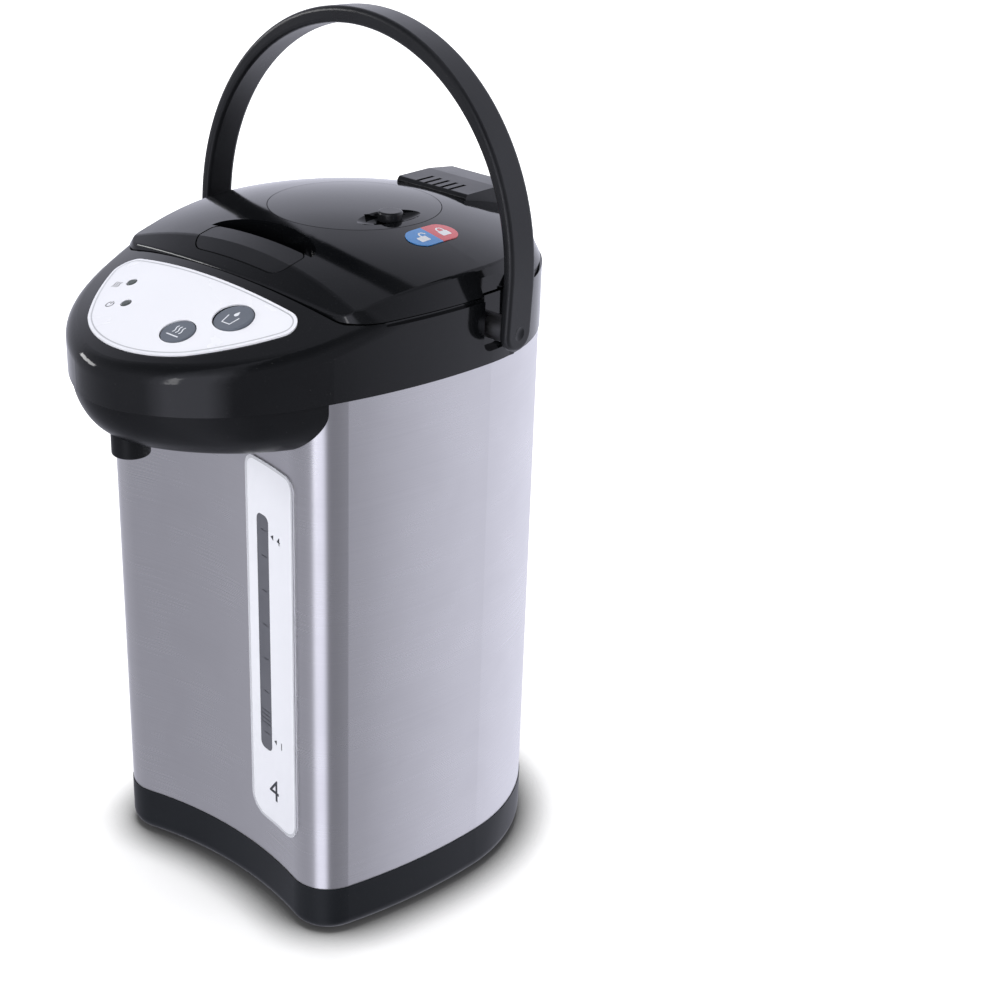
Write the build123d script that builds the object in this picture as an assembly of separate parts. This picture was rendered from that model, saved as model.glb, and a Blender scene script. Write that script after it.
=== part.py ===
"""Electric thermo pot: a four-litre water boiler with an electric pump and a bellows pump.

Frame: millimetres, +Z up, origin on the table at the axis of the round inner pot.
The beak with the nozzle points along -Y, the hinge and the power inlet are at +Y.
"""
from build123d import *
from math import asin, cos, degrees, hypot, radians, sin, sqrt
import os

os.makedirs("parts", exist_ok=True)

# ---------------------------------------------------------------- clearances
running_gap = 0.08      # radial, pins and shafts that turn
sliding_gap = 0.4       # buttons, press plate and latch in their openings
seat_gap = 0.3          # curved faces of different pieces
parting_gap = 1.25      # in plan, between the lid and the beak
lid_gap = 0.8           # between the housing's sill and the lid's lower edge
glued_gap = 0.05        # overlays on the face below them

# ---------------------------------------------------------------- body plan
body_half_width = 98.0
side_radius = 309.0     # flat-looking sides
corner_radius = 21.2    # front corners
front_radius = 221.5    # hollow front face
front_depth = 92.9      # pot axis to the middle of the front face
casing_wall = 0.8
skirt_wall = 3.0
skirt_proud = 0.4
housing_wall = 3.0
housing_proud = 0.6

# ---------------------------------------------------------------- heights
cover_thickness = 3.0
skirt_lift = 0.8
skirt_floor = 3.0
skirt_edge_round = 7.0
skirt_top = 28.0
lip_height = 6.0
lip_wall = 1.6
casing_top = 304.0
deck_thickness = 2.5
housing_top = 338.6      # sill under the lid
groove_floor = 337.0     # shadow line outside the sill
groove_depth = 2.0

# ---------------------------------------------------------------- beak
nose_reach = 166.5
nose_radius = 52.0
shoulder_radius = 110.0
panel_tilt = 18.7       # degrees, slope of the control panel
panel_crown_radius = 300.0
panel_ridge_height = 377.6   # of the sloped top, where it would cross the pot axis
beak_edge_round = 9.0
seam_tilt = 3.4         # degrees, the beak's lower edge falls towards the nose
tray_depth = 29.0
tray_floor_height = casing_top - tray_depth
tray_wall = 2.5
tray_edge_round = tray_depth - 5.0
tray_inset = 1.0

# ---------------------------------------------------------------- inner pot
pot_radius = 84.5
pot_wall = 0.8
pot_floor_height = 52.0
pot_floor_round = 12.0
mouth_radius = 78.0
neck_height = 12.0
ledge_thickness = 3.0
rim_thickness = 1.0
collar_wall = 2.5
collar_radius = 87.0

# ---------------------------------------------------------------- lid
lid_inset = 0.6
lid_front_reach = 88.0
lid_front_radius = 600.0
lid_corner_radius = 22.0
lid_shoulder_half = 91.0      # half width where the side band meets the dome
lid_shoulder_side_radius = 175.0
lid_shoulder_corner = 9.0
lid_wall = 2.5
dome_radius = 300.0
dome_top = 366.0
lid_front_tilt = 33.0         # degrees, slope of the lid's front face
lid_front_ridge = 404.5       # of that face, where it would cross the pot axis
lid_front_crown = 400.0
lid_edge_round = 2.5
lid_crease_round = 6.0        # between the front face and the dome
drum_top_radius = 84.0
drum_bottom_radius = 79.5
drum_floor_height = 306.2
drum_wall = 2.0
inner_plate_thickness = 0.8
gasket_radius = 82.5

# ---------------------------------------------------------------- press plate and bellows pump
press_radius = 44.5
press_centre_y = 2.0
press_wall = 2.5
press_skirt_depth = 20.0
bellows_radius = 36.0
bellows_turns = 5
knob_orbit = 32.0
knob_angle = -11.0      # degrees from +X about the plate's axis, the middle of its travel
knob_radius = 6.4
lock_angle = 22.0

# ---------------------------------------------------------------- latch
latch_half_width = 33.0
latch_front = 80.5
latch_rear = 63.0
latch_front_round = 9.0
latch_rear_round = 4.0
latch_thickness = 3.0
cavity_rear = 48.0
cavity_depth = 13.0
latch_pivot_y = -78.5
latch_pivot_z = 348.5
latch_pin_radius = 1.5
latch_gap = 0.7

# ---------------------------------------------------------------- hinge
hinge_y = 99.0
hinge_z = 341.5
hinge_pin_radius = 2.0
hinge_barrel_radius = 5.0
hinge_half_width = 25.0
barrel_half_length = 15.0
ear_thickness = 5.0

# ---------------------------------------------------------------- vent cover
vent_half_width = 25.0
vent_front = 59.0
vent_rear = 103.5
vent_top = 362.0
vent_bevel_length = 19.5    # the top's fall at the rear
vent_bevel_drop = 2.4
slot_count = 5
slot_pitch = 5.8
slot_length = 12.6
slot_width = 2.2

# ---------------------------------------------------------------- handle
handle_pivot_y = 3.0
handle_pivot_z = 322.0
handle_arch_height = 118.0    # of the half ellipse above the straight arms
handle_arm_height = 22.0      # pivot to the start of the arch
handle_arm_thickness = 6.0
handle_side_clearance = 8.4   # between the housing's wall and an arm
handle_outer_half = body_half_width + housing_proud + handle_side_clearance + handle_arm_thickness
handle_grip_thickness = 8.6
handle_width = 18.5
handle_edge_round = 2.4
handle_lean = 3.4             # degrees, backwards, where it comes to rest
handle_pin_radius = 3.0
handle_pin_depth = 4.2
handle_boss_radius = 6.5
pocket_half_width = 9.4
pocket_bottom = 310.5
pocket_depth = 4.0

# ---------------------------------------------------------------- control panel
panel_tip = (68.5, -92.5)
panel_side = (55.0, -119.0)
panel_turn = (36.0, -142.0)
panel_top_y = 94.8
panel_bottom_y = 155.0
panel_thickness = 0.8
panel_tip_round = 8.5
dispense_spot = (35.0, -111.8)
dispense_radius = 9.8
reboil_spot = (19.7, -132.7)
reboil_radius = 8.5
lamp_spots = ((-38.5, -112.5), (-24.5, -127.5))
lamp_radius = 2.5
button_proud = 0.2
button_travel = 1.2
board_depth = 13.0
board_thickness = 1.6
board_width = 96.0
board_reach = (-140.0, -106.0)   # from y to y
switch_height = 5.0
lamp_height = 2.5

# ---------------------------------------------------------------- nozzle and level gauge
nozzle_y = -148.0
nozzle_radius = 9.4
nozzle_bore = 6.0
nozzle_drop = 5.5        # of the nozzle below the tray
nozzle_bottom = tray_floor_height - nozzle_drop
nozzle_boss_height = 8.0
nozzle_flange_radius = 10.8
valve_radius = 9.0
valve_height = 13.0
gauge_x = 35.0
gauge_y = -86.6
gauge_radius = 5.0
gauge_bore = 3.6
gauge_bottom = 56.0
gauge_top = 262.0
strip_left = 20.8
strip_right = 64.0
strip_bottom = 51.5
strip_top = 261.0
strip_thickness = 0.8
strip_lower_round = 12.0
strip_upper_round = 7.0
window_width = 10.2
window_bottom = 95.4
window_top = 231.5
hose_radius = 5.2
hose_bore = 3.2

# ---------------------------------------------------------------- base equipment
pump_x = 24.0
pump_y = -38.0
motor_radius = 13.0
motor_bottom = 7.0
motor_height = 21.0
pump_radius = 17.0
pump_height = 12.0
pump_wall = 2.0
shaft_radius = 1.5
impeller_radius = 12.0
inlet_height = 49.0
inlet_half_width = 20.0
inlet_half_height = 13.0
inlet_proud = 2.0
heater_bottom = 66.0
heater_height = 30.0
warm_heater_bottom = 112.0
warm_heater_height = 14.0
heater_thickness = 2.0

side_centre = (body_half_width - side_radius, 0.0)


# ---------------------------------------------------------------- plan outlines
def meeting_point(first, first_distance, second, second_distance, lower=True):
    """The point at given distances from two points; the lower or the upper of the two."""
    dx = second[0] - first[0]
    dy = second[1] - first[1]
    gap = hypot(dx, dy)
    along = (first_distance ** 2 - second_distance ** 2 + gap ** 2) / (2 * gap)
    aside = sqrt(first_distance ** 2 - along ** 2)
    spots = []
    for side in (1, -1):
        x = first[0] + (along * dx - side * aside * dy) / gap
        y = first[1] + (along * dy + side * aside * dx) / gap
        spots.append((x, y))
    spots.sort(key=lambda spot: spot[1])
    return spots[0] if lower else spots[1]


def towards(start, target, distance):
    """The point at a distance from start, on the line to target."""
    gap = hypot(target[0] - start[0], target[1] - start[1])
    x = start[0] + (target[0] - start[0]) * distance / gap
    y = start[1] + (target[1] - start[1]) * distance / gap
    return (x, y)


def mirrored_outline(right_points, rear_half):
    """A closed face: arcs through the right-hand points, mirrored to the left, round at the rear."""
    edges = []
    for start, middle, end in right_points:
        edges.append(ThreePointArc(start, middle, end))
        edges.append(ThreePointArc((-start[0], start[1]), (-middle[0], middle[1]), (-end[0], end[1])))
    edges.append(ThreePointArc((rear_half, 0), (0, rear_half), (-rear_half, 0)))
    return edges


def arc_middle(centre, radius, start, end):
    """A point of an arc halfway between its ends."""
    middle = ((start[0] + end[0]) / 2, (start[1] + end[1]) / 2)
    return towards(centre, middle, radius)


def front_corner_centre():
    """Centre of the right front corner's arc, tangent to the side and to the hollow front."""
    front_centre = (0.0, -front_depth - front_radius)
    return meeting_point(
        side_centre, side_radius - corner_radius, front_centre, front_radius + corner_radius, lower=False
    )


def body_face(inset):
    """The body's plan: round rear, large-radius sides, round front corners, hollow front."""
    half = body_half_width - inset
    side = side_radius - inset
    corner = corner_radius - inset
    front_centre = (0.0, -front_depth - front_radius)
    corner_centre = front_corner_centre()
    first = (half, 0.0)
    second = towards(side_centre, corner_centre, side)
    third = towards(corner_centre, front_centre, corner)
    fourth = (0.0, -front_depth + inset)
    corner_tip = (second[0] + third[0], second[1] + third[1])
    corner_tip = (corner_tip[0] / 2, corner_tip[1] / 2)
    arcs = (
        (first, arc_middle(side_centre, side, first, second), second),
        (second, towards(corner_centre, corner_tip, corner), third),
    )
    edges = mirrored_outline(arcs, half)
    edges.append(ThreePointArc(third, fourth, (-third[0], third[1])))
    return make_face(Curve() + edges)


def upper_face(inset):
    """The upper housing's plan: the body's rear and sides, run on into the round beak."""
    half = body_half_width - inset
    side = side_radius - inset
    shoulder = shoulder_radius - inset
    nose = nose_radius - inset
    nose_centre = (0.0, nose_radius - nose_reach)
    shoulder_centre = meeting_point(
        side_centre, side_radius - shoulder_radius, nose_centre, shoulder_radius - nose_radius, lower=False
    )
    first = (half, 0.0)
    second = towards(side_centre, shoulder_centre, side)
    third = towards(nose_centre, shoulder_centre, -nose)
    tip = (0.0, nose_centre[1] - nose)
    arcs = (
        (first, arc_middle(side_centre, side, first, second), second),
        (second, arc_middle(shoulder_centre, shoulder, second, third), third),
    )
    edges = mirrored_outline(arcs, half)
    edges.append(ThreePointArc(third, tip, (-third[0], third[1])))
    return make_face(Curve() + edges)


def lid_corner_start():
    """Where the lid's right side turns into its front corner."""
    corner_centre = meeting_point(
        side_centre, side_radius - lid_corner_radius,
        (0.0, lid_front_radius - lid_front_reach), lid_front_radius - lid_corner_radius
    )
    return towards(side_centre, corner_centre, side_radius)


def lid_outline(half, side, corner, front_reach):
    """Round rear, bowed sides and a slightly bowed front edge with round corners."""
    centre_x = half - side
    front_centre = (0.0, lid_front_radius - lid_front_reach)
    front = lid_front_radius - lid_front_reach + front_reach
    corner_centre = meeting_point((centre_x, 0.0), side - corner, front_centre, front - corner)
    first = (half, 0.0)
    second = towards((centre_x, 0.0), corner_centre, side)
    third = towards(front_centre, corner_centre, front)
    corner_tip = ((second[0] + third[0]) / 2, (second[1] + third[1]) / 2)
    arcs = (
        (first, arc_middle((centre_x, 0.0), side, first, second), second),
        (second, towards(corner_centre, corner_tip, corner), third),
    )
    edges = mirrored_outline(arcs, half)
    edges.append(ThreePointArc(third, (0.0, -front_reach), (-third[0], third[1])))
    return make_face(Curve() + edges)


def lid_face(inset):
    """The lid's plan at its lower edge."""
    return lid_outline(
        body_half_width - inset, side_radius - inset, lid_corner_radius - inset, lid_front_reach - inset
    )


def lid_shoulder_face(inset):
    """The lid's plan where the side band meets the dome."""
    return lid_outline(
        lid_shoulder_half - inset, lid_shoulder_side_radius - inset, lid_shoulder_corner - inset,
        lid_front_reach - lid_inset - inset
    )


# ---------------------------------------------------------------- solid helpers
def prism(face, bottom, top):
    """A plan face drawn up from one height to another."""
    return extrude(Pos(0, 0, bottom) * face, top - bottom)


def disc(x, y, bottom, top, radius):
    """An upright round bar."""
    return Pos(x, y, (bottom + top) / 2) * Cylinder(radius, top - bottom)


def ring(x, y, bottom, top, outer, inner):
    """An upright tube."""
    return disc(x, y, bottom, top, outer) - disc(x, y, bottom - 1, top + 1, inner)


def block(left, right, front, rear, bottom, top):
    """A box between six planes."""
    centre = Pos((left + right) / 2, (front + rear) / 2, (bottom + top) / 2)
    return centre * Box(right - left, rear - front, top - bottom)


def cross_bar(left, right, y, z, radius):
    """A round bar along X."""
    return Pos((left + right) / 2, y, z) * Rot(Y=90) * Cylinder(radius, right - left)


def mirrored(shape):
    """The same shape on the left-hand side."""
    return mirror(shape, about=Plane.YZ)


def tilted_drum(tilt, ridge, crown, radius):
    """A long drum that falls towards the front; the one of crown radius has the ridge height at y = 0."""
    centre_y = crown * sin(radians(tilt))
    centre_z = ridge - crown * cos(radians(tilt))
    return Pos(0, centre_y, centre_z) * Rot(X=tilt - 90) * Cylinder(radius, 3 * crown)


def slope_drum(radius):
    """The drum whose upper side is the sloped, crowned top of the beak."""
    return tilted_drum(panel_tilt, panel_ridge_height, panel_crown_radius, radius)


def slope_height(x, y):
    """Height of the beak's sloped top above a plan point."""
    tilt = radians(panel_tilt)
    fall = panel_crown_radius - sqrt(panel_crown_radius ** 2 - x ** 2)
    return panel_ridge_height + y * sin(tilt) / cos(tilt) - fall / cos(tilt)


def on_slope(x, y, shape):
    """A shape drawn about its own Z axis, set on the beak's sloped top."""
    return Pos(x, y, slope_height(x, y)) * Rot(X=panel_tilt) * shape


def dome_height(x, y, inset=0.0):
    """Height of the lid's dome above a plan point."""
    centre = dome_top - dome_radius
    return centre + sqrt((dome_radius - inset) ** 2 - x ** 2 - y ** 2)


def dome(radius):
    """The ball whose cap is the lid's dome."""
    return Pos(0, 0, dome_top - dome_radius) * Sphere(radius)


def swept_tube(points, radii, outer, inner):
    """A hose along straight runs joined by arcs."""
    path = FilletPolyline(*points, radius=radii)
    start = Plane(origin=path @ 0, z_dir=path % 0)
    return sweep(start * (Circle(outer) - Circle(inner)), path=path)


def write(node, shape):
    """One STEP file for each piece."""
    export_step(shape, "parts/" + node + ".step")


# ---------------------------------------------------------------- base
def seam_wedge():
    """Everything below the upper housing: level under the ring, falling under the beak."""
    far = 3 * body_half_width
    start = corner_radius - front_corner_centre()[1]
    fall = (far - start) * sin(radians(seam_tilt)) / cos(radians(seam_tilt))
    side_view = Polyline(
        (far, casing_top), (-start, casing_top), (-far, casing_top - fall), (-far, 0), (far, 0), close=True
    )
    return extrude(Plane.YZ * make_face(side_view), far, both=True)


def base_skirt():
    """Black skirt that closes the casing at the bottom, with a round lower edge."""
    outer = prism(body_face(-skirt_proud), skirt_lift, skirt_top)
    outer = fillet(outer.faces().sort_by(Axis.Z)[0].edges(), skirt_edge_round)
    inner = prism(body_face(skirt_wall - skirt_proud), cover_thickness + skirt_floor, skirt_top + 1)
    shelf = prism(body_face(0), skirt_top - skirt_floor, skirt_top)
    shelf -= prism(body_face(2 * skirt_floor), skirt_top - skirt_floor - 1, skirt_top + 1)
    lip = prism(body_face(casing_wall + seat_gap), skirt_top - skirt_floor, skirt_top + lip_height)
    lip -= prism(body_face(casing_wall + seat_gap + lip_wall), 0, skirt_top + lip_height + 1)
    skirt = outer - inner + shelf + lip
    skirt -= prism(body_face(cover_inset - seat_gap), 0, cover_thickness)
    skirt -= prism(body_face(opening_inset), 0, skirt_top - skirt_floor - 1)
    for x, y in screw_spots:
        boss_top = skirt_floor + 2 * cover_thickness
        skirt += ring(x, y, cover_thickness, boss_top, screw_boss_radius, screw_radius)
        skirt -= disc(x, y, 0, boss_top, screw_radius)
    return skirt


pad_radius = 10.0
pad_pocket = 1.2
pad_inset = 26.0
cover_inset = 9.0
opening_inset = 15.0
screw_boss_radius = 4.0
screw_radius = 1.6
screw_head_radius = 3.2
screw_head_height = 1.6
screw_inset = 12.0


def rear_spot(angle, inset):
    """A plan point set in from the round rear."""
    reach = body_half_width - inset
    return (reach * cos(radians(angle)), reach * sin(radians(angle)))


def corner_spot(inset):
    """A plan point set in from the front corner, along its diagonal."""
    x, y = front_corner_centre()
    reach = corner_radius - inset
    return (x + reach * cos(radians(45)), y - reach * sin(radians(45)))


def four_spots(rear, front):
    """A rear and a front point with their mirror images."""
    return [(side * x, y) for x, y in (rear, front) for side in (1, -1)]


screw_spots = four_spots(rear_spot(32, screw_inset), corner_spot(screw_inset))
pad_spots = four_spots(rear_spot(48, pad_inset), corner_spot(pad_inset))


def bottom_cover():
    """Plate that the pot stands on, with vents, screw holes and pockets for the pads."""
    cover = prism(body_face(cover_inset), 0, cover_thickness)
    for x, y in pad_spots:
        cover -= disc(x, y, -1, pad_pocket, pad_radius + seat_gap)
    for x, y in screw_spots:
        cover -= disc(x, y, -1, cover_thickness + 1, screw_radius + running_gap)
        cover -= disc(x, y, -1, screw_head_height + glued_gap, screw_head_radius + seat_gap)
    for step in range(vent_slot_count):
        x = (step - (vent_slot_count - 1) / 2) * vent_slot_pitch
        half = vent_slot_width / 2
        cover -= block(x - half, x + half, *vent_slot_reach, -1, cover_thickness + 1)
    mount_bottom = motor_bottom - mount_height
    cover += ring(pump_x, pump_y, cover_thickness, mount_bottom, motor_radius, motor_radius - mount_wall)
    for x, y in board_posts:
        cover += disc(x, y, cover_thickness, power_board_height, board_post_radius)
    return cover


vent_slot_count = 9
vent_slot_pitch = 6.0
vent_slot_width = 2.2
vent_slot_reach = (30.0, 62.0)
mount_height = 2.5
mount_wall = 3.0
power_board_height = 9.0
power_board_size = (62.0, 34.0)
power_board_centre = (-28.0, 4.0)
board_post_radius = 3.0
board_posts = tuple(
    (power_board_centre[0] + side * (power_board_size[0] / 2 - 4), power_board_centre[1] + end * 12)
    for side in (-1, 1) for end in (-1, 1)
)


def foot_pads():
    """Four soft round pads, flush with the standing face."""
    return Compound([disc(x, y, 0, pad_pocket, pad_radius) for x, y in pad_spots])


def cover_screws():
    """Four screws that hold the bottom cover."""
    screws = []
    for x, y in screw_spots:
        head = disc(x, y, 0.2, screw_head_height, screw_head_radius)
        slot = block(x - screw_head_radius, x + screw_head_radius, y - 0.4, y + 0.4, 0, 0.9)
        screws.append(head + disc(x, y, screw_head_height, 10.0, screw_radius) - slot)
    return Compound(screws)


def pump_mount():
    """Soft ring between the pump motor and the cover."""
    return ring(pump_x, pump_y, motor_bottom - mount_height, motor_bottom, motor_radius, motor_radius - 4)


def pump_motor():
    """Closed can of the pump motor, with a blind hole for the shaft."""
    top = motor_bottom + motor_height
    can = disc(pump_x, pump_y, motor_bottom, top, motor_radius)
    can = fillet(can.faces().sort_by(Axis.Z)[0].edges(), 1.5)
    return can - disc(pump_x, pump_y, top - 8, top + 1, shaft_radius + running_gap)


def pump_housing():
    """Round pump chamber on the motor, with a top inlet and a side outlet."""
    bottom = motor_bottom + motor_height
    top = bottom + pump_height
    shell = disc(pump_x, pump_y, bottom, top, pump_radius)
    shell += disc(pump_x, pump_y, top, top + 5, hose_bore)
    outlet_centre = bottom + pump_height / 2
    outlet = Pos(pump_x, pump_y - pump_radius, outlet_centre) * Rot(X=90) * Cylinder(hose_bore, 2 * 6)
    shell += outlet
    shell -= disc(pump_x, pump_y, bottom + pump_wall, top - pump_wall, pump_radius - pump_wall)
    shell -= disc(pump_x, pump_y, bottom - 1, bottom + pump_wall + 1, shaft_radius + running_gap)
    shell -= disc(pump_x, pump_y, top - pump_wall - 1, top + 6, hose_bore - 1)
    drill = Pos(pump_x, pump_y - pump_radius, outlet_centre) * Rot(X=90) * Cylinder(hose_bore - 1, 2 * 7)
    return shell - drill


def pump_impeller():
    """Shaft and bladed wheel that turn in the pump chamber."""
    floor = motor_bottom + motor_height + pump_wall
    wheel = disc(pump_x, pump_y, floor + 1, floor + 2.2, impeller_radius)
    wheel += disc(pump_x, pump_y, floor + 1, floor + 6, 3)
    blade_count = 6
    for step in range(blade_count):
        blade = block(2, impeller_radius - 0.2, -0.5, 0.5, floor + 2, floor + 6)
        wheel += Pos(pump_x, pump_y, 0) * Rot(Z=step * 360 / blade_count) * blade
    return wheel + disc(pump_x, pump_y, floor - pump_wall - 7, floor + 6, shaft_radius)


def intake_hose():
    """Short hose from the pot's outlet to the pump's inlet."""
    bottom = motor_bottom + motor_height + pump_height
    top = pot_floor_height - pot_wall
    return ring(pump_x, pump_y, bottom + glued_gap, top - 1.0, hose_radius, hose_bore)


def outlet_hose():
    """Hose from the pump's side to the foot of the level tube."""
    height = motor_bottom + motor_height + pump_height / 2
    start_y = pump_y - pump_radius
    route = (
        (pump_x, start_y - glued_gap, height),
        (pump_x, gauge_y, height),
        (gauge_x, gauge_y, height + 10),
        (gauge_x, gauge_y, gauge_bottom),
    )
    hose = swept_tube(route, (8.0, 7.0), hose_radius, hose_bore)
    sleeve_bottom = gauge_bottom - coupling_reach
    return hose - ring(gauge_x, gauge_y, sleeve_bottom, gauge_bottom, 2 * hose_radius, hose_radius)


def power_board():
    """Board with relays and terminals, on four posts."""
    x, y = power_board_centre
    half_x = power_board_size[0] / 2
    half_y = power_board_size[1] / 2
    top = power_board_height + board_thickness
    board = block(x - half_x, x + half_x, y - half_y, y + half_y, power_board_height, top)
    for spot_x, spot_y, wide, deep, tall in (board_relay, board_transformer, board_terminals):
        middle = Pos(x + spot_x, y + spot_y, top + tall / 2)
        board += middle * Box(wide, deep, tall)
    return board + disc(x + capacitor_x, y, top, top + capacitor_height, capacitor_radius)


board_relay = (-16.0, -2.0, 16.0, 16.0, 12.0)          # x, y from the board's middle, then its size
board_transformer = (5.0, -2.0, 14.0, 12.0, 9.0)
board_terminals = (0.0, 12.5, 48.0, 5.0, 7.0)
capacitor_x = 21.0
capacitor_radius = 5.0
capacitor_height = 14.0


def power_inlet():
    """Two-pin mains inlet in the rear of the casing."""
    rear = body_half_width + inlet_proud
    low = inlet_height - inlet_half_height
    high = inlet_height + inlet_half_height
    front = rear - inlet_depth
    half = inlet_half_width
    wall = inlet_wall
    housing = block(-half, half, front, rear, low, high)
    housing = fillet(housing.edges().filter_by(Axis.Y), wall + 1)
    flange_rear = front + 2 * wall - inlet_proud
    flange = block(-half - wall, half + wall, front, flange_rear, low - wall, high + wall)
    socket = block(-half + wall, half - wall, front + wall, rear + 1, low + wall, high - wall)
    socket = fillet(socket.edges().filter_by(Axis.Y), wall)
    inlet = housing + flange - socket
    for x in (-prong_spacing / 2, prong_spacing / 2):
        middle = Pos(x, front + wall + prong_length / 2 - 0.5, inlet_height)
        inlet += middle * Rot(X=90) * Cylinder(prong_radius, prong_length)
    return inlet


inlet_depth = 12.0
inlet_wall = 3.0
prong_spacing = 14.0
prong_radius = 2.0
prong_length = 7.0


# ---------------------------------------------------------------- casing, pot and heaters
def outer_casing():
    """Thin brushed steel wrap, cut out for the level window and the inlet."""
    casing = prism(body_face(0), skirt_top, casing_top) - prism(body_face(casing_wall), 0, casing_top + 1)
    casing -= window_block(seat_gap)
    rear = body_half_width + 5
    return casing - block(
        -inlet_half_width - seat_gap, inlet_half_width + seat_gap, rear - 20, rear,
        inlet_height - inlet_half_height - seat_gap, inlet_height + inlet_half_height + seat_gap,
    )


def window_block(gap):
    """Upright slot in front of the level tube, round at both ends."""
    half = window_width / 2 + gap
    deep = block(gauge_x - half, gauge_x + half, -front_depth - 12, gauge_y - gauge_radius,
                 window_bottom - gap, window_top + gap)
    return fillet(deep.edges().filter_by(Axis.Y), half - 1.6)


def body_skin(inner_gap, outer_gap):
    """A thin upright shell round the casing."""
    return prism(body_face(-outer_gap), 0, casing_top) - prism(body_face(-inner_gap), -1, casing_top + 1)


def level_strip():
    """White strip on the front face around the level window."""
    plan = block(strip_left, strip_right, -front_depth - 20, -front_depth + 12, strip_bottom, strip_top)
    corners = plan.edges().filter_by(Axis.Y).sort_by(Axis.Z)
    plan = fillet(corners[:2], strip_lower_round)
    corners = plan.edges().filter_by(Axis.Y).sort_by(Axis.Z)
    plan = fillet(corners[-2:], strip_upper_round)
    return (body_skin(glued_gap, strip_thickness + glued_gap) & plan) - window_block(glued_gap)


def level_window():
    """Tinted clear bar in the strip's slot."""
    return body_skin(-casing_wall, strip_thickness + glued_gap) & window_block(0)


def inner_pot():
    """Drawn steel pot with a necked mouth and a flat rim that hangs on the housing's ledge."""
    ledge_top = casing_top - rim_thickness
    neck_bottom = ledge_top - neck_height
    outer = pot_radius + pot_wall
    side_view = Polyline(
        (0, pot_floor_height), (pot_radius, pot_floor_height), (pot_radius, neck_bottom),
        (mouth_radius, ledge_top), (mouth_radius, ledge_top + rim_thickness),
        (collar_radius - seat_gap, ledge_top + rim_thickness), (collar_radius - seat_gap, ledge_top),
        (mouth_radius + pot_wall, ledge_top), (outer, neck_bottom + 1),
        (outer, pot_floor_height - pot_wall), (0, pot_floor_height - pot_wall), close=True
    )
    pot = revolve(Plane.XZ * make_face(side_view), Axis.Z)
    low_edges = [e for e in pot.edges() if e.center().Z < pot_floor_height + 0.01]
    low_edges = [e for e in low_edges if e.radius > pot_radius - 1]
    low_edges.sort(key=lambda e: e.radius)
    pot = fillet(low_edges[:1], pot_floor_round - pot_wall)
    low_edges = [e for e in pot.edges() if e.center().Z < pot_floor_height - pot_wall / 2
                 and e.geom_type == GeomType.CIRCLE and e.radius > pot_radius]
    pot = fillet(low_edges, pot_floor_round)
    pot += disc(pump_x, pump_y, pot_floor_height - 6, pot_floor_height - pot_wall / 2, hose_bore - glued_gap)
    return pot - disc(pump_x, pump_y, pot_floor_height - 7, pot_floor_height + 1, hose_bore - 1)


def heater(bottom, height):
    """Band heater clamped round the pot, with a terminal block at the rear."""
    inner = pot_radius + pot_wall + glued_gap
    outer = inner + heater_thickness
    band = ring(0, 0, bottom, bottom + height, outer, inner)
    gap = heater_gap / 2
    band -= block(-gap, gap, 0, outer + 2, bottom - 1, bottom + height + 1)
    tab = block(gap, gap + heater_tab, inner + 1, outer + heater_tab, bottom, bottom + height)
    return band + tab + mirrored(tab)


heater_gap = 5.0
heater_tab = 3.0


def insulation():
    """Felt blanket round the pot, open at the front for the level tube."""
    inner = pot_radius + pot_wall + seat_gap
    bottom = warm_heater_bottom + warm_heater_height + felt_thickness
    blanket = ring(0, 0, bottom, casing_top - felt_top_gap, inner + felt_thickness, inner)
    half = body_half_width
    return blanket - block(-half, half, -half, felt_front, 0, casing_top)


felt_thickness = 6.0
felt_top_gap = 24.0     # below the casing's upper edge
felt_front = -58.0


def thermostats():
    """Two snap discs held against the pot's floor, and the thermal fuse between them."""
    top = pot_floor_height - pot_wall
    pieces = []
    for x, y in thermostat_spots:
        body = disc(x, y, top - thermostat_height, top - glued_gap, thermostat_radius)
        body += block(x - 3, x + 3, y - 5, y + 5, top - thermostat_height - 5, top - thermostat_height + 1)
        pieces.append(body)
    return Compound(pieces)


thermostat_spots = ((-30.0, 30.0), (-4.0, 42.0))
thermostat_radius = 8.0
thermostat_height = 7.0


def thermal_fuse():
    """Small one-shot fuse in a clip under the pot."""
    top = pot_floor_height - pot_wall
    clip = block(18, 30, 24, 32, top - 2, top - glued_gap)
    return clip + cross_bar(12, 36, 28, top - 4.0, 2.4)


# ---------------------------------------------------------------- level gauge and spout
def level_tube():
    """Glass tube that shows the water level and carries the water up."""
    return ring(gauge_x, gauge_y, gauge_bottom, gauge_top, gauge_radius, gauge_bore)


def tube_couplings():
    """Soft sleeves over both ends of the level tube and the hoses."""
    outer = gauge_radius + 1.8
    inner = hose_radius + glued_gap
    low = ring(gauge_x, gauge_y, gauge_bottom - coupling_reach, gauge_bottom + coupling_reach, outer, inner)
    high = ring(gauge_x, gauge_y, gauge_top - coupling_reach, gauge_top + coupling_reach, outer, inner)
    return Compound([low, high])


coupling_reach = 8.0


def spout_hose():
    """Hose from the level tube over the casing's edge to the valve above the nozzle."""
    route = (
        (gauge_x, gauge_y, gauge_top),
        (gauge_x, gauge_y, casing_top + 16),
        (gauge_x * 0.4, -123.0, casing_top + 3),
        (0, nozzle_y, casing_top),
        (0, nozzle_y, valve_bottom + valve_height - 2),
    )
    return swept_tube(route, (12.0, 14.0, 4.0), hose_radius, hose_bore)


valve_bottom = tray_floor_height + nozzle_boss_height + 2.0


def spout_valve():
    """Anti-tip valve housing on the nozzle."""
    top = valve_bottom + valve_height
    housing = disc(0, nozzle_y, valve_bottom, top, valve_radius)
    housing -= disc(0, nozzle_y, valve_bottom - 1, top - 5, nozzle_bore)
    housing -= disc(0, nozzle_y, top - 6, top + 1, hose_radius + seat_gap)
    return housing


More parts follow.
